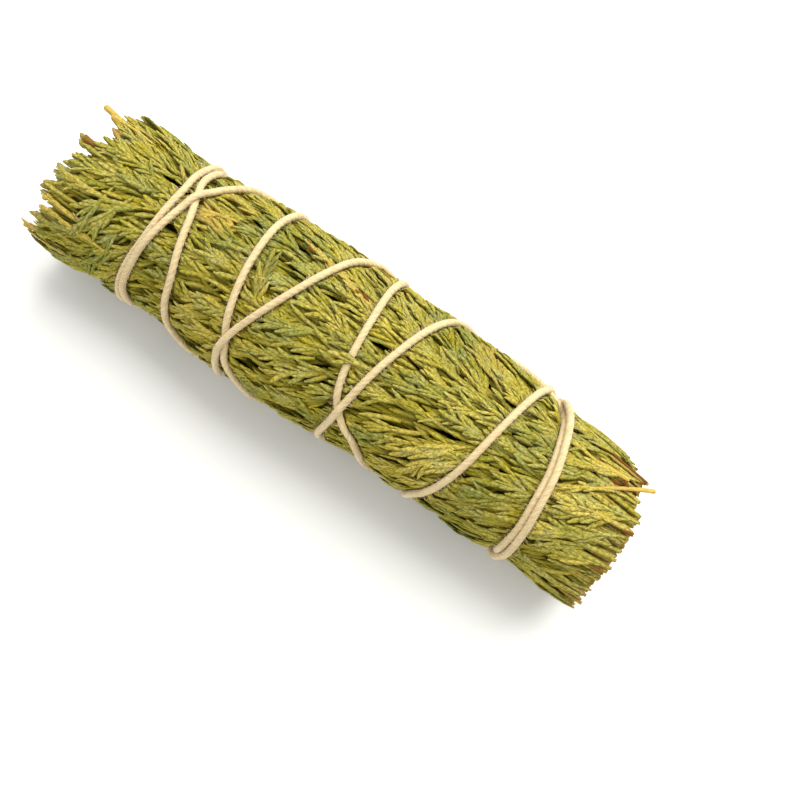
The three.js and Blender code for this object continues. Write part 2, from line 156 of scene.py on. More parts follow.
# %% [markdown]
# ## The string's route
# The string starts at a knot on the hidden side near the cut end, spirals to the leafy end, goes
# round there, and spirals back over its own first turns. Its route is a list of places on the
# map, x and angle, where the angle keeps growing by 360 with each turn. A smooth curve through the
# list is sampled at even steps of angle. Where two strands cross or lie side by side, the later one
# rises and the earlier one is pressed in, by as much as keeps them apart.

# %% The places that the string passes
STRING_ROUTE = np.array([
    [36.0, -217], [36.6, -180], [37.1, -135], [37.3, -90], [37.6, -69], [37.9, -50],
    [37.6, -30], [37.1, -8], [36.1, 12], [34.9, 34], [33.7, 49], [31.9, 57],
    [28.8, 64], [25.4, 70], [22.0, 77], [19.8, 90], [18.6, 120], [17.6, 150],
    [16.8, 180], [15.6, 215], [13.8, 250], [12.4, 275], [10.7, 291], [9.0, 297],
    [7.2, 305], [5.9, 315], [5.0, 329], [4.4, 345], [3.6, 370], [2.8, 393],
    [2.5, 412], [2.3, 432], [2.2, 450], [1.2, 480], [-0.7, 510], [-2.8, 540],
    [-5.0, 570], [-7.0, 600], [-9.0, 625], [-11.4, 638], [-12.8, 648], [-13.5, 662],
    [-14.3, 676], [-15.5, 701], [-16.3, 722], [-17.0, 745], [-17.2, 765], [-17.3, 782],
    [-17.1, 798], [-16.6, 815], [-16.3, 850], [-16.9, 900], [-18.2, 940], [-19.9, 968],
    [-22.2, 986], [-24.2, 998], [-25.0, 1015], [-25.4, 1036], [-26.5, 1055], [-28.0, 1077],
    [-29.5, 1091], [-30.5, 1101], [-31.2, 1110], [-31.7, 1124], [-32.2, 1137], [-32.7, 1148],
    [-33.2, 1172], [-33.7, 1205], [-34.5, 1240], [-35.0, 1290], [-34.9, 1335], [-34.4, 1362],
    [-33.4, 1388], [-32.5, 1410], [-32.1, 1432], [-32.1, 1452], [-32.6, 1465], [-32.95, 1480],
    [-33.3, 1497], [-33.8, 1512], [-33.6, 1535], [-32.4, 1560], [-31.4, 1590], [-32.0, 1645],
    [-33.2, 1695], [-33.4, 1722], [-32.6, 1745], [-31.8, 1766], [-30.9, 1784], [-29.9, 1806],
    [-29.3, 1815], [-28.2, 1827], [-27.4, 1835], [-26.7, 1844], [-26.1, 1853], [-25.5, 1861],
    [-24.2, 1869], [-22.8, 1876], [-21.8, 1892], [-21.2, 1930], [-19.2, 1975], [-16.6, 2020],
    [-14.6, 2056], [-14.3, 2080], [-13.8, 2097],
    [-12.6, 2113], [-10.7, 2130], [-8.9, 2146], [-7.3, 2162], [-5.8, 2181], [-4.5, 2201],
    [-3.0, 2216], [-1.2, 2232], [0.4, 2252], [1.9, 2285], [3.0, 2325], [3.9, 2370],
    [4.4, 2405], [4.9, 2431], [5.7, 2446], [6.7, 2463], [7.7, 2484], [8.7, 2504],
    [9.8, 2523], [11.1, 2547], [12.7, 2572], [14.6, 2592], [16.6, 2608], [18.2, 2630],
    [19.3, 2670], [19.9, 2720], [20.6, 2765], [21.9, 2792], [23.4, 2806], [24.9, 2821],
    [26.5, 2843], [27.6, 2869], [28.6, 2897], [29.4, 2920], [30.2, 2940], [31.0, 2965],
    [32.2, 3005], [33.9, 3060], [35.9, 3105], [37.9, 3138], [38.7, 3158], [38.9, 3190],
    [38.55, 3210], [37.95, 3232], [36.75, 3252], [35.15, 3274], [33.7, 3289], [32.9, 3303],
    [32.9, 3325], [33.8, 3348], [35.3, 3366], [36.1, 3377],
])


def smooth_through(rows, pieces):
    """Points on a smooth curve through rows, with that many pieces between two of them."""
    ends = np.vstack([2 * rows[0] - rows[1], rows, 2 * rows[-1] - rows[-2]])
    share = np.linspace(0, 1, pieces, endpoint=False)[:, None]
    spans = []
    for p0, p1, p2, p3 in zip(ends, ends[1:], ends[2:], ends[3:]):
        bend = 2 * p0 - 5 * p1 + 4 * p2 - p3
        twist = 3 * p1 - p0 - 3 * p2 + p3
        spans.append(p1 + 0.5 * share * ((p2 - p0) + share * (bend + share * twist)))
    return np.vstack([*spans, rows[-1:]])


fine_route = smooth_through(STRING_ROUTE, 8)
turns_made = (STRING_ROUTE[-1, 1] - STRING_ROUTE[0, 1]) / 360
print("the string goes round", round(turns_made, 1), "times")

# %% The string's line
STRING_RADIUS = 0.59
STRING_SINK = 0.2
FLOOR_CLEARANCE = STRING_RADIUS + 0.06
STRAND_PITCH = 1.4
SAMPLE_DEGREES = 2.5
HUMP_SHARE, HUMP_WIDTH, HUMP_FADE = 0.6, 1.05, 1.6


def length_of(line):
    return np.linalg.norm(np.diff(line, axis=0), axis=1).sum()


string_angle = np.arange(STRING_ROUTE[0, 1], STRING_ROUTE[-1, 1] + 0.1, SAMPLE_DEGREES)
string_x = np.interp(string_angle, fine_route[:, 1], fine_route[:, 0])
string_lift = np.zeros(len(string_x))
per_turn = round(360 / SAMPLE_DEGREES)
fade = np.exp(-0.5 * (np.arange(-8, 9) / HUMP_FADE) ** 2)
crossings = []
for turns in range(per_turn, len(string_x), per_turn):
    apart = string_x[turns:] - string_x[:-turns]
    crossings += [(i, i + turns) for i in np.flatnonzero(apart[:-1] * apart[1:] < 0)]
    spread = STRAND_PITCH * np.exp(-(apart / HUMP_WIDTH) ** 2)
    spread = np.convolve(spread, fade / fade.sum(), mode="same")
    base = skin_radius(string_x[turns:], string_angle[turns:]) - STRING_SINK
    room = pressed_flat(base + spread, string_angle[turns:], FLOOR_CLEARANCE) - base
    raised = np.clip(room, 0, spread * HUMP_SHARE)
    string_lift[turns:] += raised
    string_lift[:-turns] -= spread - raised

string_reach = skin_radius(string_x, string_angle) - STRING_SINK + string_lift
string_reach = pressed_flat(string_reach, string_angle, FLOOR_CLEARANCE)
string_line = place(string_x, string_angle, string_reach)
print("string:", round(length_of(string_line)), "mm long,", len(crossings), "crossings")

# %% [markdown]
# ## The knot and its tails
# Both ends of the string run into one small overhand knot on the hidden side, and leave it as two
# short cut tails that lie along the foliage. An overhand knot is a trefoil, and three sines
# describe a trefoil. The knot and the tails press the foliage as the string does.

# %% Lines of the knot and the tails
KNOT_X, KNOT_ANGLE = 36.1, 140.0
KNOT_SIZE, KNOT_LIFT = 0.56, 0.5
KNOT_OPENING = 0.3
TAILS = [(6.5, 9.0), (5.0, -14.0)]  # how far along and, in degrees, how far round
TAIL_SWAY = 2.5


def tail_line(run, turn, count=14):
    share = np.linspace(0, 1, count)
    x = KNOT_X + run * share
    sway = TAIL_SWAY * np.sin(math.pi * share)
    return place(x, KNOT_ANGLE + turn * share + sway, bundle_radius(x) - STRING_SINK)


def knot_line(count=64):
    turn = np.linspace(KNOT_OPENING, 2 * math.pi - KNOT_OPENING, count)
    along = KNOT_SIZE * (np.sin(turn) + 2 * np.sin(2 * turn))
    around = KNOT_SIZE * (np.cos(turn) - 2 * np.cos(2 * turn))
    out = KNOT_LIFT - KNOT_SIZE * np.sin(3 * turn)
    radius = bundle_radius(KNOT_X)
    angle = KNOT_ANGLE + np.degrees(around / radius)
    return place(KNOT_X + along, angle, radius - STRING_SINK + out)


string_lines = [string_line, knot_line(), *(tail_line(run, turn) for run, turn in TAILS)]
press_marks = np.vstack(string_lines)
print("knot and tails in mm:", [round(float(length_of(line)), 1) for line in string_lines[1:]])
print("marks that press the foliage:", len(press_marks))

# %% [markdown]
# ## How the string presses the foliage
# Dried foliage is springy, so each strand lies in a narrow groove of its own. A map of the bundle's
# surface, one cell for every quarter of a millimetre and every degree, holds the largest radius
# that foliage may have there. Each mark along the string lowers the cells round it. Reading such a
# map is fast, so thousands of shoots can ask it where the string is.

# %% The map of grooves
GRID_STEP = 0.25
GRID_START, GRID_END = -56.0, 56.0
GROOVE_DEPTH = 0.85
GROOVE_FLOOR = 0.5
GROOVE_SLOPE = 1.35
GROOVE_REACH = 3.0
NO_LIMIT = 99.0

grid_x = np.arange(GRID_START, GRID_END + GRID_STEP / 2, GRID_STEP)
groove = np.full((len(grid_x), 360), NO_LIMIT)
for x, y, z in press_marks:
    mark_radius = math.hypot(y, z - AXIS_HEIGHT)
    mark_angle = math.degrees(math.atan2(y, z - AXIS_HEIGHT))
    middle, turn_reach = math.floor(mark_angle), math.ceil(math.degrees(GROOVE_REACH / mark_radius))
    rows = np.flatnonzero(np.abs(grid_x - x) < GROOVE_REACH)
    turns = np.arange(middle - turn_reach, middle + turn_reach + 1)
    along = (grid_x[rows] - x)[:, None]
    around = np.radians(turns - mark_angle)[None, :] * mark_radius
    away = np.hypot(along, around)
    cap = mark_radius - GROOVE_DEPTH + GROOVE_SLOPE * np.maximum(0, away - GROOVE_FLOOR)
    cells = np.ix_(rows, turns % 360)
    groove[cells] = np.minimum(groove[cells], cap)


def groove_limit(x, angle):
    """The largest radius that foliage may have at a place, read between the map's cells."""
    row = np.clip((x - GRID_START) / GRID_STEP, 0, len(grid_x) - 2)
    low_row = row.astype(int)
    low_turn = np.floor(angle).astype(int)
    up, round_it = row - low_row, angle - low_turn
    near, far = (groove[low_row, turn % 360] * (1 - up) + groove[low_row + 1, turn % 360] * up
                 for turn in (low_turn, low_turn + 1))
    return near * (1 - round_it) + far * round_it


print("share of the surface that a strand presses:", round(float((groove < 13).mean()), 2))

# %% [markdown]
# ## One leafy shoot
# Cedar has no needles that stand off. Its twigs are covered with tiny scale leaves, in pairs that
# overlap like tiles, so a shoot looks like a flat braided cord about a millimetre wide. It could be
# made of many separate leaves, but a bundle has thousands of shoots. Here one four-sided shoot is
# extruded ring by ring: out to a pair's widest place, then in under the next pair. It is 1 long, 1
# in half-width and 1 in half-thickness, so a copy can be given any size. Four lengths are made, so
# that a scale leaf always keeps its real size. A plain shoot with few rings is made as well, for
# the places where only the end of a shoot shows. Extruding numbers the corners differently from run
# to run, so a finished rod's corners and faces are put in order, and every run gives the same mesh.

# %% A helper that extrudes a profile ring by ring
def start_profile(name, sides):
    bpy.ops.object.select_all(action="DESELECT")
    bpy.ops.mesh.primitive_circle_add(vertices=sides, radius=1, fill_type="NGON",
                                      rotation=(0, math.pi / 2, 0))
    made = bpy.context.object
    made.name = name
    bpy.ops.object.transform_apply(location=False, rotation=True, scale=False)
    bpy.ops.object.mode_set(mode="EDIT")
    bpy.ops.mesh.select_all(action="SELECT")
    return made


def next_ring(at, step, width, thickness):
    """Extrudes the last ring along X, and sizes the new one against the last."""
    bpy.ops.mesh.extrude_region_move(TRANSFORM_OT_translate={"value": (step, 0, 0)})
    bpy.ops.transform.resize(value=(1, width, thickness), center_override=(at, 0, 0))


def turn_faces_out():
    """Ends edit mode with all faces pointing outwards."""
    bpy.ops.mesh.select_all(action="SELECT")
    bpy.ops.mesh.normals_make_consistent(inside=False)
    bpy.ops.object.mode_set(mode="OBJECT")


def extruded(name, sides, rings):
    """A rod along X whose rings are rows of (place, half-width, half-thickness)."""
    made = start_profile(name, sides)
    at, width, thickness = rings[0]
    bpy.ops.transform.resize(value=(1, width, thickness), center_override=(0, 0, 0))
    for place_x, new_width, new_thickness in rings[1:]:
        next_ring(place_x, place_x - at, new_width / width, new_thickness / thickness)
        at, width, thickness = place_x, new_width, new_thickness
    turn_faces_out()
    return made


def as_template(made):
    """A rod as arrays: its rings' places, and each corner's ring, side and height."""
    points = np.array([v.co for v in made.data.vertices])
    order = np.lexsort(points.round(4).T[::-1])
    new_number = np.argsort(order).tolist()
    points = points[order]
    faces = [tuple(new_number[v] for v in p.vertices) for p in made.data.polygons]
    stations, ring = np.unique(points[:, 0].round(4), return_inverse=True)
    bpy.data.objects.remove(made)
    return {"stations": stations, "ring": ring, "side": points[:, 1], "up": points[:, 2],
            "faces": sorted(faces)}


# %% Leafy shoots of several lengths
SHOOT_SIDES = 4
SCALE_LENGTH = 1.1
SCALE_COUNTS = [3, 4, 5, 8]
START_WIDTH, START_GROWTH = 0.66, 0.8
POINT_SHARE, BLUNTNESS = 0.3, 0.55


def shoot_width(share):
    """A shoot starts narrow, keeps its width past its middle and ends in a blunt point."""
    start = min(1.0, START_WIDTH + START_GROWTH * share)
    return start * min(1.0, (1 - share) / POINT_SHARE) ** BLUNTNESS


def leafy_rings(scales):
    rings = [(0.0, 0.6, 0.6)]
    for number in range(scales):
        wide, tucked = (number + 0.66) / scales, (number + 1.0) / scales
        rings.append((wide, shoot_width(wide), shoot_width(wide) * 0.92))
        if number < scales - 1:
            rings.append((tucked, shoot_width(tucked) * 0.86, shoot_width(tucked) * 0.98))
    rings.append((1.0, 0.22, 0.20))
    return rings


leafy = {}
for scales in SCALE_COUNTS:
    leafy[scales] = as_template(extruded(f"shoot_{scales}", SHOOT_SIDES, leafy_rings(scales)))
print("faces of the leafy shoots:", {n: len(t["faces"]) for n, t in leafy.items()})

# %% [markdown]
# ## A cut woody stem
# At the cut end the sprigs are bare wood: a smooth, slightly tapering stem that the knife left with
# a flat end. It is extruded too, and the end is drawn in a little for the worn edge of the bark.
# Two more rods are made the same way: a thick core for the dense middle of a sprig, and the plain
# shoot.

# %% Stems, cores and plain shoots
WOODY_RINGS = [
    (0.0, 0.90, 0.90), (0.010, 1.0, 1.0), (0.20, 0.96, 0.97), (0.45, 0.86, 0.88),
    (0.75, 0.74, 0.76), (1.0, 0.45, 0.45),
]
CORE_RINGS = [(share, 1.0, 1.0) for share in np.linspace(0, 1, 15)]
PLAIN_RINGS = [(0.0, 0.6, 0.6), (0.35, 1.0, 1.0), (0.84, 0.88, 0.92), (1.0, 0.30, 0.30)]
woody = as_template(extruded("stem", 8, WOODY_RINGS))
core = as_template(extruded("core", 8, CORE_RINGS))
plain = as_template(extruded("plain_shoot", SHOOT_SIDES, PLAIN_RINGS))
for title, template in (("stem", woody), ("core", core), ("plain shoot", plain)):
    print("faces of a", title + ":", len(template["faces"]))

# %% [markdown]
# ## Laying shoots along the bundle
# A shoot is described by where it starts, the direction it heads in on the map (0 is straight to
# the leafy tips), how much it bends, its length, its depth at the root and at the tip, its size,
# and its look: a tone, how woody it is, and how much painted shade it gets from lying deep. All
# shoots of one template are laid in one go, as arrays. The rings' centres come first, then each
# ring is turned to stand across its shoot, and then the template's corners are put round it. At the
# leafy end the tips are the youngest growth, so they are made stouter, and some of them dried
# brown.

# %% Following a shoot on the map
END_LIGHT = 4.5
DARKEST_DEPTH = 3.2
DRY_REACH = 1.9
TIP_STOUT = 0.5
# Painted shade: how dark a depth is painted round the bundle, more on the near side and below, less
# on top and on the far side, where the key light falls.
SHADE_LINE = np.array([
    [-180, 1.2], [-90, 1.5], [-50, 1.3], [-15, 1.0], [20, 0.68], [80, 0.65], [180, 1.2],
])
FIELDS = ["x", "angle", "heading", "bend", "length", "root_depth", "tip_depth", "width",
          "thickness", "roll", "tone", "wood", "over"]


def traced(shoots, stations):
    """x, angle, depth and heading of each shoot at the stations, which are shares of its length."""
    heading = np.radians(shoots["heading"][:, None] + shoots["bend"][:, None] * stations)
    steps = np.diff(stations, prepend=stations[0])
    middle = heading - np.radians(shoots["bend"][:, None]) * steps / 2
    along = np.cumsum(np.cos(middle) * steps, axis=1) * shoots["length"][:, None]
    across = np.cumsum(np.sin(middle) * steps, axis=1) * shoots["length"][:, None]
    x = shoots["x"][:, None] - along
    angle = shoots["angle"][:, None] + np.degrees(across / bundle_radius(x))
    rise = (1 - stations) ** 1.5
    depth = shoots["tip_depth"][:, None] * (1 - rise) + shoots["root_depth"][:, None] * rise
    return x, angle, depth, np.degrees(heading)


def ring_centres(shoots, stations):
    """The rings' centres as points, kept under the string and above the floor."""
    x, angle, depth, _ = traced(shoots, stations)
    limit = groove_limit(x, angle) - 0.35 * depth
    limit = np.where(shoots["over"][:, None] > 0, NO_LIMIT, limit)
    radius = np.minimum(skin_radius(x, angle) - depth, limit)
    radius = pressed_flat(radius, angle, shoots["thickness"][:, None] + 0.3 * np.maximum(depth, 0))
    inside = np.minimum(x - line_at(TIP_LINE, angle), line_at(CUT_LINE, angle) - x)
    return place(x, angle, radius), angle, depth, inside


def unit(vectors):
    return vectors / np.maximum(np.linalg.norm(vectors, axis=-1, keepdims=True), 1e-9)


def laid(template, shoots, scales):
    """Corners and looks of copies of a template, one for each shoot."""
    centres, angle, depth, inside = ring_centres(shoots, template["stations"])
    turn = np.radians(angle)
    outward = np.stack([np.zeros_like(turn), np.sin(turn), np.cos(turn)], axis=-1)
    tangent = unit(np.gradient(centres, axis=1))
    side = unit(np.cross(outward, tangent))
    up = np.cross(tangent, side)
    roll = np.radians(shoots["roll"])[:, None, None]
    side, up = side * np.cos(roll) + up * np.sin(roll), up * np.cos(roll) - side * np.sin(roll)
    ring = template["ring"]
    stout = 1 + TIP_STOUT * np.clip(1 - inside / 3, 0, 1) * (centres[..., 0] < 0)
    side, up = side * stout[..., None], up * stout[..., None]
    points = centres[:, ring]
    points = points + side[:, ring] * (template["side"] * shoots["width"][:, None])[..., None]
    points = points + up[:, ring] * (template["up"] * shoots["thickness"][:, None])[..., None]
    count = len(ring)
    station = template["stations"][ring]
    # The deep look is painted shade: deeper shoots are darker, less so near either end, where light
    # comes in from the side.
    shade = np.clip((inside - 0.8) / END_LIGHT, 0.12, 1) * line_at(SHADE_LINE, angle)
    shade *= np.minimum(depth, DARKEST_DEPTH)
    dry = np.clip(1 - inside / DRY_REACH, 0, 1) * (shoots["tone"][:, None] * 7.3 % 1)
    looks = {
        "along": np.broadcast_to(station * scales, (len(points), count)),
        "across": np.broadcast_to(template["side"], (len(points), count)),
        "tone": np.broadcast_to(shoots["tone"][:, None], (len(points), count)),
        "wood": np.maximum(shoots["wood"][:, None], dry)[:, ring],
        "deep": shade[:, ring],
        "tip": np.broadcast_to(station, (len(points), count)),
    }
    faces = []
    for number in range(len(points)):
        start = number * count
        faces += [tuple(start + corner for corner in face) for face in template["faces"]]
    return points.reshape(-1, 3), faces, {name: np.ravel(row) for name, row in looks.items()}


# %% [markdown]
# ## From laid shoots to one mesh
# A sprig's shoots become one mesh, so that the sprig stays one piece. Each corner also keeps the
# looks that the finish reads later. They are stored as attributes on the mesh, because they belong
# to a shoot and not to a place in space.

# %% Making the mesh of a sprig
LOOKS = ["along", "across", "tone", "wood", "deep", "tip"]


def gathered(rows):
    table = np.array(rows, dtype=float)
    return {name: table[:, number] for number, name in enumerate(FIELDS)}


def mesh_piece(name, parts):
    """One object from several laid parts, in metres, smooth, with its looks as attributes."""
    points, faces = [], []
    looks = {key: [] for key in LOOKS}
    start = 0
    for part_points, part_faces, part_looks in parts:
        points.append(part_points)
        faces += [tuple(start + corner for corner in face) for face in part_faces]
        for key in LOOKS:
            looks[key].append(part_looks[key])
        start += len(part_points)
    mesh = bpy.data.meshes.new(name)
    mesh.from_pydata((np.vstack(points) * MM).tolist(), [], faces)
    for key in LOOKS:
        kept = mesh.attributes.new(key, "FLOAT", "POINT")
        kept.data.foreach_set("value", np.concatenate(looks[key]).astype(np.float32))
    mesh.polygons.foreach_set("use_smooth", [len(face) < 5 for face in faces])
    made = bpy.data.objects.new(name, mesh)
    bpy.context.scene.collection.objects.link(made)
    return made


def shoot_parts(rows):
    """The rows laid with the template whose scale leaves come out nearest to their real size."""
    parts = []
    lengths = np.array([row[FIELDS.index("length")] for row in rows])
    nearest = np.abs(lengths[:, None] / SCALE_LENGTH - np.array(SCALE_COUNTS)).argmin(axis=1)
    for number, scales in enumerate(SCALE_COUNTS):
        chosen = [row for row, which in zip(rows, nearest) if which == number]
        if chosen:
            parts.append(laid(leafy[scales], gathered(chosen), scales))
    return parts


# %% [markdown]
# ## A frond
# A cedar frond is a flat spray: a leafy rib with side shoots left and right in turn, which bend
# forward along the rib. In the bundle all fronds point to the leafy end. A frond's root is buried
# and its tips come up to the surface, over the roots of the next fronds, as straw does on a
# thatched roof. That is what makes the herringbone look and the short dark gaps.

# %% Which way the fronds lie, and how they are coloured
LAY_LINE = np.array([
    [-180, 4], [-90, -6], [-50, -14], [-20, -10], [10, -2], [30, 12], [50, 26], [90, 14], [180, 4],
])
LAY_PATCHES = [
    # x, angle, reach, heading
    (-39.0, -30, 4.5, -78), (-12.5, -20, 2.4, 78), (21.0, -48, 5.5, -52), (12.0, 36, 6.0, 46),
    (24.0, 40, 4.0, 36), (41.0, 30, 4.5, -40), (-46.0, 35, 4.0, 32), (-30.0, 40, 5.0, 34),
    (17.0, 12, 4.0, 26), (-40.0, 0, 4.0, -28), (3.0, -26, 6.0, -20), (-20.0, 14, 4.0, -12),
    (26.0, -34, 5.0, -30), (46.0, 8, 4.5, -30), (-33.0, -52, 4.0, -50), (-6.0, 120, 9.0, 30),
    (22.0, 150, 9.0, -26), (-34.0, 160, 8.0, 24), (10.0, -120, 9.0, 28), (-25.0, -130, 8.0, -30),
]
TONE_PATCHES = [
    # x, angle, reach, how much lighter or darker
    (-48.0, 28, 5.0, 0.35), (-24.0, 8, 4.5, 0.32), (-8.0, -28, 5.0, 0.25), (21.0, -45, 5.5, 0.45),
    (5.0, 30, 9.0, 0.15), (24.0, -20, 7.0, 0.15), (-17.0, 4, 4.5, -0.45), (-36.0, -32, 5.5, -0.2),
    (14.0, 22, 3.5, -0.35), (36.0, 12, 4.0, -0.3), (-30.0, 30, 5.0, -0.15), (44.0, -30, 6.0, 0.2),
    (33.0, -30, 4.0, -0.15), (-8.0, 2, 5.5, -0.4), (0.0, 110, 12.0, 0.25),
    (-30.0, -140, 12.0, -0.3), (47.0, 42, 3.5, -0.5),
]
BROWN_PATCHES = [
    # x, angle, reach, how woody
    (-50.0, 25, 3.0, 0.55), (-24.0, 8, 3.5, 0.8), (-1.0, 44, 2.5, 0.7), (22.0, 18, 1.8, 0.5),
    (-17.0, -44, 4.0, 0.35), (31.0, -45, 3.5, 0.4), (-50.0, -62, 4.0, 0.45), (47.0, 28, 3.0, 0.9),
    (51.0, -10, 2.2, 0.5), (50.5, -48, 2.2, 0.5), (-50.0, -5, 2.0, 0.5), (46.5, 42, 3.5, 1.0),
]


def nearness(patch, x, angle):
    """1 at a patch's middle, 0 far from it."""
    around = math.radians(half_turn(angle - patch[1])) * bundle_radius(x)
    return math.exp(-(math.hypot(x - patch[0], around) / patch[2]) ** 2)


def lay(x, angle):
    """The heading of the fronds at a place."""
    heading = float(line_at(LAY_LINE, angle))
    heading += 5 * math.sin(x / 7 + math.radians(angle) * 3)
    for patch in LAY_PATCHES:
        heading += (patch[3] - heading) * nearness(patch, x, angle)
    return heading


def patched(patches, x, angle):
    return sum(patch[3] * nearness(patch, x, angle) for patch in patches)


print("heading on top and on the far side:", round(lay(0, 0)), round(lay(0, 50)))

# %% One frond as rows of shoots
RIB_WIDTH = (0.38, 0.46)
SIDE_WIDTH = (0.37, 0.51)
FLATNESS = (0.40, 0.60)
SIDE_PITCH = 0.95
SIDE_LEAN = (10, 29)
SIDE_REACH = (3.2, 5.4)


def frond_rows(pick, x, angle, length, root_depth, tip_depth, tone, heading=None, over=0.0,
               wood=None, side_reach=SIDE_REACH, side_width=SIDE_WIDTH):
    """A rib and its side shoots, as rows for gathered()."""
    if heading is None:
        heading = lay(x - length / 2, angle) + pick.gauss(0, 10)
    width = pick.uniform(*RIB_WIDTH)
    if wood is None:
        wood = patched(BROWN_PATCHES, x - length / 2, angle) * pick.uniform(0, 1.4)
    wood = min(1.0, max(0.0, wood))
    tone += patched(TONE_PATCHES, x - length / 2, angle)
    rib = [x, angle, heading, pick.uniform(-12, 12), length, root_depth, tip_depth, width,
           width * pick.uniform(*FLATNESS), pick.uniform(-15, 15), tone, wood, over]
    rows = [rib]
    starts = np.arange(pick.uniform(1.8, 3.2), length - 1.2, SIDE_PITCH)
    shares = starts / length
    at_x, at_angle, at_depth, at_heading = traced(gathered([rib]), np.concatenate([[0], shares]))
    hand = pick.choice([-1, 1])
    for number, share in enumerate(shares, start=1):
        hand = -hand
        reach = pick.uniform(*side_reach) * (1.05 - 0.4 * share)
        half_width = pick.uniform(*side_width)
        depth = at_depth[0, number]
        rows.append([
            at_x[0, number], at_angle[0, number],
            at_heading[0, number] + hand * pick.uniform(*SIDE_LEAN),
            -hand * pick.uniform(-4, 20), reach, depth + 0.05,
            max(tip_depth + pick.uniform(-0.2, 0.3), depth - pick.uniform(0.2, 0.9)),
            half_width, half_width * pick.uniform(*FLATNESS), pick.uniform(-34, 34),
            tone + pick.gauss(0, 0.11), wood * pick.uniform(0.3, 1.0), over,
        ])
    return rows


sample = frond_rows(random.Random(1), 0.0, 0.0, 13.0, 2.4, 0.4, 0.5)
print("shoots in one frond:", len(sample))

# %% [markdown]
# ## The outer sprigs
# Fourteen sprigs side by side make the surface. Each has the same angle of the map as its packed
# node, with an edge that waves a little. Fronds are placed by rule: evenly along the sprig in three
# loose layers, with small random shifts.

# %% Outer sprigs
OUTER_COUNT = 14
OUTER_INSIDE = 0.57
EDGE_WAVE, WAVE_LENGTH, WAVE_PHASE = 2.6, 46.0, 2.4
FRONDS_PER_LAYER = 22
LOOSE_SHOOTS = 60
EVEN_SPREAD = 0.618034
LAYER_DEPTHS = [1.0, 0.5, 0.05]
ROOT_RELIEF = np.array([
    [-180, 1.2], [-100, 2.2], [-55, 2.1], [-28, 1.4], [0, 1.0], [30, 0.72], [80, 0.72], [180, 1.2],
])


def cell_edge(count, index, x):
    wave = math.sin(2 * math.pi * x / WAVE_LENGTH + WAVE_PHASE * (index % count))
    return 360 / count * index + EDGE_WAVE * wave


def cell_angle(count, index, x, across):
    low, high = cell_edge(count, index, x), cell_edge(count, index + 1, x)
    return (low + high) / 2 + across * (high - low) / 2


def outer_rows(index, pick):
    rows = []
    base_tone = 0.5 + 0.06 * math.sin(2.4 * index)
    for layer_depth in LAYER_DEPTHS:
        for number in range(FRONDS_PER_LAYER):
            share = (number + pick.uniform(-0.35, 0.35)) / (FRONDS_PER_LAYER - 1)
            across = 2 * ((number * EVEN_SPREAD + layer_depth + pick.uniform(-0.08, 0.08)) % 1) - 1
            length = pick.uniform(9.0, 14.0)
            first = line_at(CUT_LINE, cell_angle(OUTER_COUNT, index, 50, across))
            first -= pick.uniform(-0.2, 0.9)
            last = line_at(TIP_LINE, cell_angle(OUTER_COUNT, index, -50, across))
            last += length + pick.uniform(-1.0, 1.2)
            x = min(first, max(last, first + (last - first) * share))
            angle = cell_angle(OUTER_COUNT, index, x, across)
            relief = line_at(ROOT_RELIEF, angle) + pick.uniform(-0.35, 0.35)
            root = layer_depth + relief * min(1.0, 0.15 + (first - x) / 9)
            tone = base_tone + pick.gauss(0, 0.16)
            rows += frond_rows(pick, x, angle, length, root, layer_depth + pick.uniform(-0.1, 0.25),
                               tone)
    for number in range(LOOSE_SHOOTS):
        across = 2 * ((number * EVEN_SPREAD) % 1) - 1
        start = line_at(CUT_LINE, cell_angle(OUTER_COUNT, index, 50, across)) - 1.5
        x = start - (start + 42) * (number + pick.random()) / LOOSE_SHOOTS
        angle = cell_angle(OUTER_COUNT, index, x, across)
        length = pick.uniform(3.5, 6.5)
        width = pick.uniform(*SIDE_WIDTH)
        tone = base_tone + pick.gauss(0, 0.25) + patched(TONE_PATCHES, x, angle)
        wood = max(0.0, pick.uniform(-3.0, 0.35))
        rows.append([x, angle, lay(x, angle) + pick.gauss(0, 16), pick.uniform(-20, 20), length,
                     pick.uniform(1.0, 1.5), pick.uniform(0.2, 0.6), width,
                     width * pick.uniform(*FLATNESS), pick.uniform(-30, 30), tone, wood, 0.0])
    return rows


# %% Plain shoots below the fronds
UNDER_COLUMNS, UNDER_ROWS, UNDER_LENGTH = 7, 17, 8.0


def under_rows(index, pick):
    """Plain shoots that close the gaps below the fronds, in columns side by side."""
    rows = []
    for number in range(UNDER_COLUMNS * UNDER_ROWS):
        column, row = number % UNDER_COLUMNS, number // UNDER_COLUMNS
        across = (column + 0.5 + pick.uniform(-0.3, 0.3)) * 2 / UNDER_COLUMNS - 1
        start = line_at(CUT_LINE, cell_angle(OUTER_COUNT, index, 50, across)) - 1.5
        x = start - (row + pick.random() * 0.8) * (start + 41) / UNDER_ROWS
        angle = cell_angle(OUTER_COUNT, index, x, across)
        width = pick.uniform(0.45, 0.6)
        rows.append([x, angle, lay(x, angle) * 0.6 + pick.gauss(0, 9), pick.uniform(-10, 10),
                     UNDER_LENGTH, pick.uniform(1.8, 2.2), pick.uniform(1.1, 1.5), width,
                     width * 0.7, pick.uniform(-20, 20), pick.gauss(0.4, 0.2), 0.0, 0.0])
    return rows


outer_shoots = {}
for index in range(OUTER_COUNT):
    outer_shoots[f"sprig_outer_{index + 1:02d}"] = outer_rows(index, random.Random(500 + index))
print("shoots in the outer sprigs:", sum(len(rows) for rows in outer_shoots.values()))

# %% [markdown]
# ## What the ends show
# Seen from its ends the bundle is full: tips of shoots of every depth on one side, cut wood on the
# other. Short straight shoots and stems fill each sprig there, at depths spread evenly. Each sprig
# has one stem that is thicker than the rest, since a sprig is one branch.

# %% Parts of plain shoots and of stems
PLAIN_SCALES = 7
STEM_RIDGES = 6


def plain_part(rows):
    return laid(plain, gathered(rows), PLAIN_SCALES)


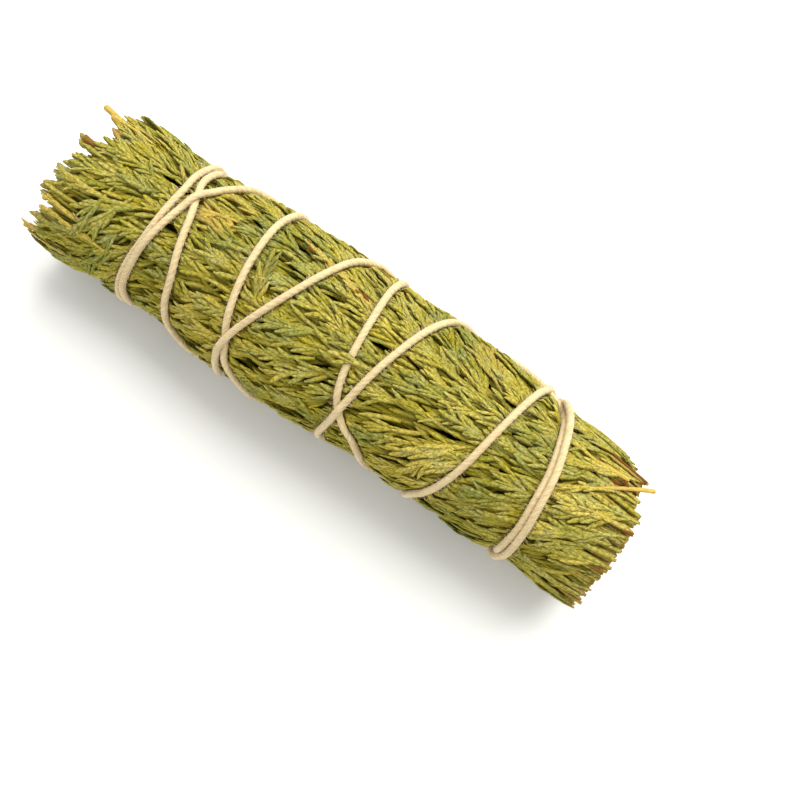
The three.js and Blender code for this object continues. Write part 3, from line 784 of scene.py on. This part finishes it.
def stem_part(rows):
    return laid(woody, gathered(rows), STEM_RIDGES)


# %% End shoots and cut stems
END_SHOOTS = 70
END_STEMS = 9
STEM_RADIUS = (0.26, 0.56)
THICK_STEM = 1.8
END_WIDTH = (0.36, 0.46)
LEAFY_DEPTH = 2.0


def spread_depth(pick, depth_range, number, count, step=1):
    """A depth for the row of that number, so that all rows together fill the range."""
    shallow, deep = depth_range
    return shallow + (deep - shallow) * (number + pick.random()) * step / count


def end_rows(pick, angle_at, depth_range, count):
    """Shoots whose tips show at the leafy end, then shoots whose cuts show at the other."""
    rows = []
    for number in range(count):
        depth = spread_depth(pick, depth_range, number, count)
        across = pick.uniform(-0.95, 0.95)
        tip = line_at(TIP_LINE, angle_at(-50, across)) + pick.uniform(0, 3.0)
        depth *= float(bundle_radius(tip) / bundle_radius(50))
        length = pick.uniform(5.0, 9.0)
        width = pick.uniform(*END_WIDTH)
        rows.append([tip + length, angle_at(tip, across), pick.uniform(-6, 6),
                     pick.uniform(-12, 12), length, depth + pick.uniform(0, 0.8), depth, width,
                     width * pick.uniform(*FLATNESS), pick.uniform(-40, 40), pick.gauss(0.5, 0.2),
                     0.0, 0.0])
    for number in range(count * 2 // 3):
        depth = spread_depth(pick, depth_range, number, count, 1.5)
        across = pick.uniform(-0.95, 0.95)
        cut = line_at(CUT_LINE, angle_at(50, across)) - pick.uniform(0, 1.0)
        width = pick.uniform(*END_WIDTH)
        rows.append([cut, angle_at(cut, across), pick.uniform(-6, 6), pick.uniform(-12, 12),
                     pick.uniform(6.0, 10.0), depth, depth + pick.uniform(0, 0.8), width * 1.1,
                     width * pick.uniform(*FLATNESS), pick.uniform(-40, 40), pick.gauss(0.5, 0.2),
                     max(0.0, pick.uniform(-0.5, 0.7)), 0.0])
    return rows


def end_parts(rows):
    """Leafy shoots where they show well, and plain ones further in, where only their ends show."""
    depth = FIELDS.index("tip_depth")
    parts = shoot_parts([row for row in rows if row[depth] < LEAFY_DEPTH])
    return parts + [plain_part([row for row in rows if row[depth] >= LEAFY_DEPTH])]


def stem_rows(pick, angle_at, depth_range, count):
    rows = []
    for number in range(count):
        depth = spread_depth(pick, depth_range, number, count)
        across = pick.uniform(-0.85, 0.85)
        cut = line_at(CUT_LINE, angle_at(50, across)) + pick.uniform(-1.2, 0.0)
        width = pick.uniform(*STEM_RADIUS) * (THICK_STEM if number == count // 2 else 1)
        rows.append([cut, angle_at(cut, across), pick.uniform(-5, 5), pick.uniform(-8, 8),
                     pick.uniform(7.0, 14.0), depth, depth + 0.6, width, width * 0.92, 0.0,
                     pick.random(), pick.uniform(0.6, 1.0), 0.0])
    return rows


# %% The dense middle of a sprig
CORE_END = 4.0


def core_part(angle_at, depths):
    """The dense middle of a sprig, from the core template, inside the sprig's part of the map."""
    share = core["stations"][core["ring"]]
    cut_end = line_at(CUT_LINE, angle_at(50, core["side"])) - CORE_END
    tip_end = line_at(TIP_LINE, angle_at(-50, core["side"])) + CORE_END
    x = cut_end + (tip_end - cut_end) * share
    angle = np.array([angle_at(at, side) for at, side in zip(x, core["side"])])
    depth = (depths[0] + depths[1]) / 2 - core["up"] * (depths[1] - depths[0]) / 2
    radius = np.minimum(skin_radius(x, angle) - depth, groove_limit(x, angle) - 0.9)
    points = place(x, angle, pressed_flat(radius, angle, 0.8))
    flat = np.zeros(len(points))
    ends = (share < 0.01) | (share > 0.99)
    # The core is painted in shade: nearly black on its sides, a little less at its two ends.
    looks = {"along": x, "across": core["side"], "tone": flat + 0.3, "wood": flat,
             "deep": np.where(ends, 2.5, 4.0), "tip": flat}
    return points, [face[::-1] for face in core["faces"]], looks


# %% [markdown]
# ## Fronds and twigs with places of their own
# No rule gives the few fronds that make this bundle itself: a tuft that slipped over a strand, fans
# that lie across the others, golden ribs with small side shoots and brown knots, and bare twigs
# that stick out at both ends. They are placed one by one, and each goes to the sprig that has its
# angle of the map.

# %% Placed fronds and twigs
PLACED_FRONDS = [
    # x, angle, length, root depth, tip depth, tone, heading, over the string
    (8.6, -18, 5.6, 0.9, -1.0, 0.7, -8, 1),
    (-12.0, -36, 10.5, 1.2, -0.25, 0.35, 84, 0), (-11.0, -40, 9.0, 1.4, -0.1, 0.45, 72, 0),
    (26.5, -20, 12.0, 1.0, -0.3, 0.95, -42, 0), (24.5, -30, 9.0, 1.0, -0.2, 1.0, -54, 0),
    (29.5, -26, 9.0, 1.2, -0.1, 0.8, -36, 0), (-37.5, -12, 10.0, 1.0, -0.1, 0.45, -74, 0),
    (-41.0, -14, 9.0, 1.0, -0.2, 0.35, -86, 0), (-35.0, -20, 8.5, 1.2, 0.0, 0.3, -66, 0),
    (18.5, 14, 12.0, 1.2, -0.2, 0.45, 44, 0), (22.5, 16, 11.0, 1.2, -0.1, 0.35, 52, 0),
    (27.0, 20, 11.0, 1.2, 0.0, 0.5, 36, 0), (13.5, 18, 9.0, 1.2, -0.1, 0.55, 38, 0),
    (44.0, 40, 9.0, 1.2, -0.1, 0.4, -38, 0), (46.0, 46, 9.5, 1.2, 0.0, 0.5, -20, 0),
    (50.5, -6, 11.0, 0.8, -0.2, 0.9, -12, 0), (48.0, -30, 10.0, 1.0, -0.2, 0.85, -16, 0),
]
TWIGS = [
    # from x, from angle, to x, to angle, two depths, radius, tone, how woody
    (50.9, 31, 43.0, -1, -0.15, 0.25, 0.36, 0.95, 0.7),
    (46.9, 22, 41.0, 19, -0.1, 0.3, 0.38, 1.0, 0.6),
    (49.5, 36, 43.0, 40, 0.35, 0.7, 0.34, 0.0, 1.0),
    (48.6, 22, 43.5, 14, 0.5, 1.0, 0.42, 0.0, 1.0),
    (-51.7, 34, -44.5, 31, 0.1, 0.6, 0.36, 0.9, 0.8),
    (-49.5, 2, -46.5, 3, 0.4, 0.9, 0.42, 0.35, 0.9),
    (51.5, -9, 48.2, -11, 0.1, 0.9, 0.32, 0.1, 0.9),
    (51.2, -45, 47.0, -47, 0.15, 0.7, 0.26, 0.15, 0.9),
    (51.6, -80, 47.5, -82, 0.3, 0.8, 0.30, 0.5, 0.8),
    (-53.4, -84, -48.5, -82, 0.4, 0.9, 0.32, 0.8, 0.7),
]
GOLDEN_RIBS = [
    # from x, from angle, to x, to angle, two depths, tone, how woody
    (-37.0, -58, -49.6, -53, 0.2, -0.1, 1.1, 0.30), (-39.5, -51, -50.4, -44, 0.5, 0.1, 1.0, 0.25),
    (-41.5, 31, -50.0, 32, 0.3, 0.1, 1.1, 0.45), (-40.0, -84, -52.6, -84, 0.4, 0.1, 0.9, 0.25),
    (-40.0, -24, -50.0, -29, 0.5, 0.1, 0.8, 0.15),
    (46.0, 9, 37.0, -16, 0.35, -0.1, 1.0, 0.10), (43.5, 19, 35.5, 19, 0.4, -0.1, 1.1, 0.25),
    (3.4, 14, -3.5, 20, 0.3, -0.15, 1.2, 0.40), (-1.0, 19, -9.0, 26, 0.3, -0.15, 1.1, 0.35),
    (-5.0, 23, -12.5, 27, 0.3, -0.2, 1.0, 0.30), (51.0, -8, 43.0, -14, 0.4, -0.1, 1.0, 0.20),
]
BROWN_KNOTS = [
    # short stubs left on the ribs: x, angle, heading, tone
    (1.6, 16, 20, 0.25), (0.4, 18, -10, 0.4), (-4.6, 22, 14, 0.3), (-10.6, 27, 20, 0.1),
    (-9.6, 25, -6, 0.25), (47.6, 16, 30, 0.1),
]

# %% Rows for the placed pieces
RIB_SIDE_REACH = (1.5, 2.8)
RIB_SIDE_WIDTH = (0.28, 0.42)


def straight_run(x, angle, to_x, to_angle):
    """The heading and the length of a straight line between two places on the map."""
    turn = math.radians(to_angle - angle) * float(bundle_radius((x + to_x) / 2))
    return math.degrees(math.atan2(turn, x - to_x)), math.hypot(x - to_x, turn)


def twig_row(x, angle, to_x, to_angle, root_depth, tip_depth, radius, tone, woody_share):
    heading, length = straight_run(x, angle, to_x, to_angle)
    return [x, angle, heading, 0.0, length, root_depth, tip_depth, radius, radius * 0.9, 0.0, tone,
            woody_share, 0.0]


def golden_rib(pick, x, angle, to_x, to_angle, root_depth, tip_depth, tone, wood):
    heading, length = straight_run(x, angle, to_x, to_angle)
    return frond_rows(pick, x, angle, length, root_depth, tip_depth, tone, heading, 0.0, wood,
                      RIB_SIDE_REACH, RIB_SIDE_WIDTH)


def outer_index(angle):
    return int((angle % 360) / 360 * OUTER_COUNT)


placed_shoots = {index: [] for index in range(OUTER_COUNT)}
placed_twigs = {index: [] for index in range(OUTER_COUNT)}
pick = random.Random(77)
for x, angle, length, root, tip, tone, heading, over in PLACED_FRONDS:
    placed_shoots[outer_index(angle)] += frond_rows(
        pick, x, angle, length, root, tip, tone, heading, over)
for row in GOLDEN_RIBS:
    placed_shoots[outer_index(row[1])] += golden_rib(pick, *row)
for x, angle, heading, tone in BROWN_KNOTS:
    placed_shoots[outer_index(angle)].append(
        [x, angle, heading, 0.0, 1.5, 0.2, -0.25, 0.34, 0.3, 0.0, tone, 1.0, 0.0])
for row in TWIGS:
    placed_twigs[outer_index(row[1])].append(twig_row(*row))
print("placed fronds, ribs and twigs:", len(PLACED_FRONDS), len(GOLDEN_RIBS), len(TWIGS))

# %% [markdown]
# ## Finishes by expression
# A finish is a small network of nodes. Written out node by node it is long and hard to read, so two
# small classes help. Value wraps a number that a node puts out, and ordinary arithmetic on it adds
# the Math nodes. Finish wraps a material and adds any other node in one call.

# %% A value
class Value:
    """A number from a node. Arithmetic on it adds Math nodes."""

    def __init__(self, finish, socket):
        self.finish = finish
        self.socket = socket

    def math(self, operation, *numbers):
        return self.finish.node("ShaderNodeMath", {"operation": operation}, *numbers)

    def __add__(self, other):
        return self.math("ADD", self, other)

    def __sub__(self, other):
        return self.math("SUBTRACT", self, other)

    def __rsub__(self, other):
        return self.math("SUBTRACT", other, self)

    def __mul__(self, other):
        return self.math("MULTIPLY", self, other)

    def __abs__(self):
        return self.math("ABSOLUTE", self)

    __radd__ = __add__
    __rmul__ = __mul__

    def fraction(self):
        return self.math("FRACT", self)

    def between(self, low, high):
        """0 below low, 1 above high, and smooth from one to the other."""
        return self.finish.node("ShaderNodeMapRange", {"interpolation_type": "SMOOTHSTEP"},
                                **{"Value": self, "From Min": low, "From Max": high})

    def at_most(self, other):
        return self.math("MINIMUM", self, other)

    def at_least(self, other):
        return self.math("MAXIMUM", self, other)


# %% A finish
class Finish:
    """A material and its nodes."""

    def __init__(self, name):
        self.material = bpy.data.materials.new(name)
        self.material.use_nodes = True
        self.tree = self.material.node_tree
        self.shader = self.tree.nodes["Principled BSDF"]

    def fill(self, socket, value):
        if isinstance(value, Value):
            self.tree.links.new(value.socket, socket)
        else:
            socket.default_value = value

    def node(self, kind, settings=None, *numbers, output=0, **sockets):
        """Adds a node. Settings go first, then its inputs by order or by name."""
        added = self.tree.nodes.new(kind)
        for key, value in (settings or {}).items():
            setattr(added, key, value)
        for socket, value in zip(added.inputs, numbers):
            self.fill(socket, value)
        for key, value in sockets.items():
            self.fill(added.inputs[key], value)
        return Value(self, added.outputs[output])

    def part(self, value, name):
        """Another output of the node that put out a value."""
        return Value(self, value.socket.node.outputs[name])

    def attribute(self, name):
        return self.node("ShaderNodeAttribute", {"attribute_name": name}, output="Fac")

    def where(self):
        return self.node("ShaderNodeTexCoord", output="Object")

    def noise(self, vector, scale, detail=2.0, roughness=0.5):
        return self.node("ShaderNodeTexNoise", None, output="Fac", Vector=vector, Scale=scale,
                         Detail=detail, Roughness=roughness)

    def join(self, x, y, z=0.0):
        return self.node("ShaderNodeCombineXYZ", None, x, y, z)

    def mix(self, share, first, second):
        """A colour between two colours."""
        added = self.tree.nodes.new("ShaderNodeMix")
        added.data_type = "RGBA"
        self.fill(added.inputs[0], share)
        self.fill(added.inputs[6], first)
        self.fill(added.inputs[7], second)
        return Value(self, added.outputs[2])

    def bump(self, height, strength, distance):
        bumped = self.node("ShaderNodeBump", None, Strength=strength, Distance=distance,
                           Height=height)
        self.fill(self.shader.inputs["Normal"], bumped)

    def surface(self, **sockets):
        for key, value in sockets.items():
            self.fill(self.shader.inputs[key.replace("_", " ")], value)


def colour(red, green, blue):
    """A colour from screen values of 0 to 255, as the shader wants it."""
    scaled = [value / 255 for value in (red, green, blue)]
    return [v / 12.92 if v < 0.04 else ((v + 0.055) / 1.055) ** 2.4 for v in scaled] + [1.0]


# %% [markdown]
# ## The foliage finish
# Dried cedar is olive, with fronds that went golden or stayed a greener olive, and small patches
# that are greyer or richer than the rest. Each scale leaf gets painted shade where it tucks under
# the next one, and along a shoot's edges. Between the shoots the shade is painted too: richer in
# colour first, as light that has gone from leaf to leaf makes it, and nearly black further down.
# Pale grains and streaks are partly the leaves' own paler tone and partly a painted highlight,
# since the leaves are given no gloss. The finish reads the looks stored on the shoots: along
# counts scale leaves, so its fraction is a place on one leaf, and adding the distance from the
# middle turns the leaf's edge into a chevron.

# %% Colours of the foliage
GREEN = colour(138, 142, 66)
OLIVE = colour(180, 170, 80)
GOLD = colour(206, 187, 89)
GREYED = colour(166, 168, 114)
RICH = colour(186, 166, 30)
# Darker tone for grains and streaks, and painted shade in creases and along shoots' edges.
DARK_TONE_AND_SHADE = colour(80, 66, 2)
# Paler tone for grains and streaks, partly standing in as a painted highlight.
PALE_TONE_AND_HIGHLIGHT = colour(220, 213, 134)
# Painted shade, nearly black, for shoots lying deep.
SHADE = colour(32, 23, 1)
STRAW = colour(214, 176, 90)
BARK = colour(122, 76, 36)
CUT = colour(196, 158, 98)
OLD_CUT = colour(138, 104, 56)
# Painted shade a little way between the shoots, richer as light bounced from leaf to leaf.
BOUNCED_SHADE = colour(170, 152, 20)

# %% Fresh, golden and grey leaves
foliage = Finish("dried_foliage")
where = foliage.where()
tone = foliage.attribute("tone")
side = foliage.attribute("across")
along = foliage.attribute("along")
patch = foliage.noise(where, 90.0)
grain = foliage.noise(where, 2600.0, 3.0)
streak = foliage.noise(foliage.join(along * 1.3, side * 2.4, tone * 37.0), 1.0, 3.0)
mood = tone + (patch - 0.5) * 0.7
leaf_colour = foliage.mix(mood.between(0.15, 0.55), GREEN, OLIVE)
leaf_colour = foliage.mix(mood.between(0.55, 1.0), leaf_colour, GOLD)
dull = (foliage.noise(where, 380.0, 3.0, 0.6) - 0.5) * 3.2 + ((tone * 53.0).fraction() - 0.5) * 0.5
leaf_colour = foliage.mix(dull.at_least(0.0).at_most(1.0) * 0.7, leaf_colour, GREYED)
leaf_colour = foliage.mix((0.0 - dull).at_least(0.0).at_most(1.0) * 0.7, leaf_colour, RICH)

# %% Edges and creases of one scale leaf
across = abs(side)
facing = (along + across * 0.5).fraction()
beside = (along + 0.5 + across * 0.5).fraction()
middle = 1 - across.between(0.38, 0.54)
scale_place = facing * middle + beside * (1 - middle)
# Painted shade where each scale leaf tucks under the next, and along the shoot's edges.
tuck_shade = 1 - scale_place.between(0.0, 0.34)
rim_shade = across.between(0.60, 1.0)
leaf_colour = foliage.mix(tuck_shade * 0.54, leaf_colour, DARK_TONE_AND_SHADE)
leaf_colour = foliage.mix(rim_shade * 0.5, leaf_colour, DARK_TONE_AND_SHADE)
dark = (0.54 - grain).at_least(0.0) * 1.8 + (0.5 - streak).at_least(0.0) * 1.7
leaf_colour = foliage.mix(dark, leaf_colour, DARK_TONE_AND_SHADE)
# Pale grains and streaks: partly the leaves' own paler tone, partly a painted highlight.
light = (grain - 0.56).at_least(0.0) * 1.6 + (streak - 0.54).at_least(0.0) * 1.3
leaf_colour = foliage.mix(light, leaf_colour, PALE_TONE_AND_HIGHLIGHT)

# %% Wood, cut ends and shade
wood = foliage.attribute("wood")
wood_colour = foliage.mix(tone.between(0.2, 0.9), BARK, STRAW)
wood_colour = foliage.mix((streak - 0.42).at_least(0.0) * 1.4, wood_colour, DARK_TONE_AND_SHADE)
leaf_colour = foliage.mix(wood, leaf_colour, wood_colour)
cut = 1 - foliage.attribute("tip").between(0.0, 0.01)
cut_colour = foliage.mix((tone * 17.0).fraction() * 0.9, CUT, OLD_CUT)
cut_colour = foliage.mix(across.between(0.55, 0.95), cut_colour, BARK)
leaf_colour = foliage.mix(cut * wood, leaf_colour, cut_colour)
depth = foliage.attribute("deep")
# Painted shade by the deep look: richer colour a little way down, nearly black deeper.
leaf_colour = foliage.mix(depth.between(0.2, 1.5) * (1 - wood) * 0.5, leaf_colour, BOUNCED_SHADE)
leaf_colour = foliage.mix(depth.between(0.8, 2.7) * 0.92, leaf_colour, SHADE)
foliage.surface(Base_Color=leaf_colour, Roughness=0.8, Specular_IOR_Level=0.0)
foliage.bump(scale_place * (1 - wood) * 0.5 + streak * 0.4 + grain * 0.25, 1.0, 0.0003)
print("foliage finish:", len(foliage.tree.nodes), "nodes")

# %% [markdown]
# ## Making the sprigs
# Every sprig is now built from its rows, given its finish, and named after the imported node it
# stands for, which is hidden. The seven sprigs inside show only at the two ends, so they have plain
# shoots there.

# %% Making the outer sprigs
FOLIAGE_SLOTS = ["foliage_olive", "foliage_grey_green", "foliage_olive", "foliage_golden"]
END_RADIUS = bundle_radius(50)
UNDER_FRONDS = 2.2


def dressed(piece, finish, node, slot):
    piece.data.materials.append(finish.material)
    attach(piece, "root")
    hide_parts(node)


def triangles(piece):
    return sum(len(p.vertices) - 2 for p in piece.data.polygons)


outer_total = 0
for index, (node, rows) in enumerate(outer_shoots.items()):
    pick = random.Random(700 + index)
    angle_at = lambda x, across, index=index: cell_angle(OUTER_COUNT, index, x, across)
    thickness = END_RADIUS * (1 - OUTER_INSIDE)
    ends = end_rows(pick, angle_at, (0.4, thickness), END_SHOOTS)
    stems = stem_rows(pick, angle_at, (UNDER_FRONDS, thickness), END_STEMS) + placed_twigs[index]
    parts = shoot_parts(rows + placed_shoots[index]) + end_parts(ends) + [stem_part(stems)]
    parts.append(plain_part(under_rows(index, pick)))
    parts.append(core_part(angle_at, (UNDER_FRONDS, thickness + 1.0)))
    piece = mesh_piece(node + "_spray", parts)
    dressed(piece, foliage, node, FOLIAGE_SLOTS[index % 4])
    outer_total += triangles(piece)
print("outer sprigs:", outer_total, "triangles, last piece", triangles(piece))

# %% Making the inner and middle sprigs
INNER_COUNT = 6
INNER_RING = (0.21, 0.545)
INNER_SHOOTS, INNER_STEMS = 110, 14
MIDDLE_SHOOTS, MIDDLE_STEMS = 70, 7

inner_total = 0
for index in range(INNER_COUNT):
    pick = random.Random(800 + index)
    angle_at = lambda x, across, index=index: cell_angle(INNER_COUNT, index, x, across)
    depths = tuple(END_RADIUS * (1 - share) for share in reversed(INNER_RING))
    parts = [plain_part(end_rows(pick, angle_at, depths, INNER_SHOOTS)),
             stem_part(stem_rows(pick, angle_at, depths, INNER_STEMS)), core_part(angle_at, depths)]
    node = f"sprig_inner_{index + 1}"
    piece = mesh_piece(node + "_spray", parts)
    dressed(piece, foliage, node, FOLIAGE_SLOTS[(index + 1) % 3])
    inner_total += triangles(piece)

pick = random.Random(900)
whole_turn = lambda x, across: 180 * across
depths = (END_RADIUS * 0.8, END_RADIUS - 0.4)
parts = [plain_part(end_rows(pick, whole_turn, depths, MIDDLE_SHOOTS)),
         stem_part(stem_rows(pick, whole_turn, depths, MIDDLE_STEMS))]
middle_piece = mesh_piece("sprig_middle_spray", parts)
dressed(middle_piece, foliage, "sprig_middle", "foliage_olive")
print("inner and middle sprigs:", inner_total + triangles(middle_piece), "triangles")

# %% [markdown]
# ## The string
# The string is soft cotton, three plies twisted together. A curve object is the natural way to make
# it: the line is the route, a three-lobed profile is the section, and a tilt that grows along the
# line twists the plies. It is then made a mesh like the rest.

# %% The string
PLY_PITCH = 3.4
STRING_STEP = 0.36
PROFILE_POINTS = 12


def even_line(points, step):
    """The same line with points at even distances."""
    run = np.concatenate([[0], np.cumsum(np.linalg.norm(np.diff(points, axis=0), axis=1))])
    wanted = np.linspace(0, run[-1], max(3, round(run[-1] / step) + 1))
    return np.stack([np.interp(wanted, run, points[:, axis]) for axis in range(3)], axis=1)


def ply_profile():
    turns = np.linspace(0, 2 * math.pi, PROFILE_POINTS, endpoint=False)
    radius = STRING_RADIUS * (0.98 + 0.038 * np.cos(3 * turns))
    shape = bpy.data.curves.new("ply_profile", "CURVE")
    spline = shape.splines.new("POLY")
    spline.points.add(PROFILE_POINTS - 1)
    for point, turn, reach in zip(spline.points, turns, radius * MM):
        point.co = (reach * math.cos(turn), reach * math.sin(turn), 0, 1)
    spline.use_cyclic_u = True
    return bpy.data.objects.new("ply_profile", shape)


def select_only(*pieces):
    bpy.ops.object.select_all(action="DESELECT")
    for piece in pieces:
        piece.select_set(True)
    bpy.context.view_layer.objects.active = pieces[0]


# %% Strings with plies
def twisted_string(name, line):
    """A tube along a line, its plies twisted by a growing tilt, and its map's u in millimetres."""
    profile = ply_profile()
    bpy.context.scene.collection.objects.link(profile)
    shape = bpy.data.curves.new(name, "CURVE")
    shape.dimensions = "3D"
    shape.bevel_mode = "OBJECT"
    shape.bevel_object = profile
    shape.use_fill_caps = True
    shape.twist_mode = "MINIMUM"
    line = even_line(line, STRING_STEP)
    spline = shape.splines.new("POLY")
    spline.points.add(len(line) - 1)
    for number, (point, co) in enumerate(zip(spline.points, line * MM)):
        point.co = (*co, 1)
        point.tilt = 2 * math.pi * (number * STRING_STEP / PLY_PITCH % 1)
    made = bpy.data.objects.new(name, shape)
    bpy.context.scene.collection.objects.link(made)
    select_only(made)
    bpy.ops.object.convert(target="MESH")
    bpy.data.objects.remove(profile)
    bpy.ops.object.mode_set(mode="EDIT")
    turn_faces_out()
    bpy.ops.object.shade_smooth()
    made = bpy.context.object
    for corner in made.data.uv_layers[0].data:
        corner.uv[0] *= len(line) * STRING_STEP
    return made


def joined(pieces):
    select_only(*pieces)
    bpy.ops.object.join()
    return pieces[0]


string = joined([twisted_string("cotton_string", line) for line in string_lines])
print("string:", triangles(string), "triangles")

# %% [markdown]
# ## Fuzz
# Cotton string is soft because short fibres stand off it. Each fibre here is a thin three-sided
# rod, a little thinner at its tip, that starts inside the string and bends away from it. Here and
# there the string has a little nub, where many fibres stand close together.

# %% Fibres
FIBRE_COUNT = 5000
FIBRE_RADIUS = 0.038
FIBRE_LENGTH = (0.75, 1.35)
NUB_STOUT = 1.3
NUB_ANGLES = [2544, 2482, -62, 1010]
FIBRES_PER_NUB = 9
fibre = as_template(extruded("fibre", 3, [(0.0, 1.0, 1.0), (1.0, 0.6, 0.6)]))


def fibre_row(pick, angle, stout=1.0):
    """One fibre that starts in the middle of the string where it passes that angle."""
    number = min(len(string_x) - 1, max(0, round((angle - string_angle[0]) / SAMPLE_DEGREES)))
    x = float(string_x[number])
    depth = float(skin_radius(x, string_angle[number]) - string_reach[number])
    return [x, float(string_angle[number]), pick.uniform(0, 360), pick.uniform(-70, 70),
            pick.uniform(*FIBRE_LENGTH) / stout, depth, depth - pick.uniform(-0.1, 0.68) / stout,
            FIBRE_RADIUS * stout, FIBRE_RADIUS * stout, 0.0, 0.5, 0.0, 1.0]


pick = random.Random(31)
fibres = [fibre_row(pick, pick.uniform(string_angle[0], string_angle[-1]))
          for _ in range(FIBRE_COUNT)]
fibres += [fibre_row(pick, angle, NUB_STOUT) for angle in NUB_ANGLES for _ in range(FIBRES_PER_NUB)]
fuzz = mesh_piece("fuzz", [laid(fibre, gathered(fibres), 1)])
string = joined([string, fuzz])
print("string with its fuzz:", triangles(string), "triangles")

# %% [markdown]
# ## The cotton finish
# Undyed cotton is cream and quite matt, a little darker where the fluff is thin, with painted shade
# in the valleys between the plies. The string's own UV map runs along it in millimetres and once
# round it, so a noise on a ring made from it follows the string and has no seam. A low sheen stands
# for the finest fluff.

# %% Cotton
CREAM = colour(229, 207, 157)
# Darker cream for thin fluff, and painted shade between the plies.
CREAM_SHADE = colour(205, 175, 124)

cotton = Finish("cotton")
laid_out = cotton.node("ShaderNodeUVMap", {"uv_map": "UVMap"})
split = cotton.node("ShaderNodeSeparateXYZ", None, laid_out)
run, turn = cotton.part(split, "X"), cotton.part(split, "Y") * (2 * math.pi)
ring = cotton.join(turn.math("COSINE", turn), turn.math("SINE", turn), run * 0.35)
fluff = cotton.noise(ring, 3.2, 4.0, 0.6)
lint = cotton.noise(cotton.where(), 1500.0, 4.0, 0.65)
soft = cotton.noise(cotton.where(), 260.0, 2.0)
# Painted shade in the valleys between the three plies.
valley = (0.5 - turn.math("COSINE", turn * 3) * 0.5).between(0.45, 1.0)
string_colour = cotton.mix(fluff.between(0.34, 0.58), CREAM_SHADE, CREAM)
string_colour = cotton.mix(soft.between(0.5, 0.75) * 0.3, string_colour, CREAM_SHADE)
string_colour = cotton.mix(valley * 0.14, string_colour, CREAM_SHADE)
cotton.surface(Base_Color=string_colour, Roughness=0.9, Sheen_Weight=0.35, Sheen_Roughness=0.5)
cotton.bump(fluff * 0.6 + lint * 0.5 - valley * 0.15, 0.6, 0.00016)
dressed(string, cotton, "string", "cotton_string")
print("cotton finish:", len(cotton.tree.nodes), "nodes")

# %% [markdown]
# ## Floor and light
# The bundle lies on a plain pale floor. One large soft light stands high on the far side, a weaker
# one fills from the near side, and the pale sky lights the rest.

# %% Floor
FLOOR_SIZE = 3.0
bpy.ops.object.select_all(action="DESELECT")
bpy.ops.mesh.primitive_plane_add(size=FLOOR_SIZE)
floor = bpy.context.object
floor.name = "floor"
pale = Finish("pale_floor")
mottle = pale.noise(pale.where(), 30.0)
floor_colour = pale.mix(mottle, colour(238, 237, 234), colour(243, 242, 240))
pale.surface(Base_Color=floor_colour, Roughness=0.9)
floor.data.materials.append(pale.material)
print("floor:", FLOOR_SIZE, "m wide")

# %% Light
LIGHTS = [
    # name, place in metres, size, power, tint
    ("key", (0.08, 0.40, 0.60), 0.70, 7.6, (1.0, 0.985, 0.94)),
    ("fill", (-0.30, -0.45, 0.40), 0.60, 0.8, (0.95, 0.97, 1.0)),
]


def add_light(name, at, size, power, tint):
    bpy.ops.object.select_all(action="DESELECT")
    bpy.ops.object.light_add(type="AREA", location=at)
    light = bpy.context.object
    light.name = name
    light.data.size = size
    light.data.energy = power
    light.data.color = tint
    light.rotation_euler = (-Vector(at)).to_track_quat("-Z", "Y").to_euler()


for row in LIGHTS:
    add_light(*row)

SKY_TINT, SKY_STRENGTH = (0.97, 0.99, 1.0, 1.0), 0.76
world = bpy.data.worlds.new("sky")
world.use_nodes = True
background = world.node_tree.nodes["Background"]
background.inputs["Color"].default_value = SKY_TINT
background.inputs["Strength"].default_value = SKY_STRENGTH
bpy.context.scene.world = world
bpy.context.scene.view_settings.view_transform = "Standard"
print("lights:", [row[0] for row in LIGHTS])
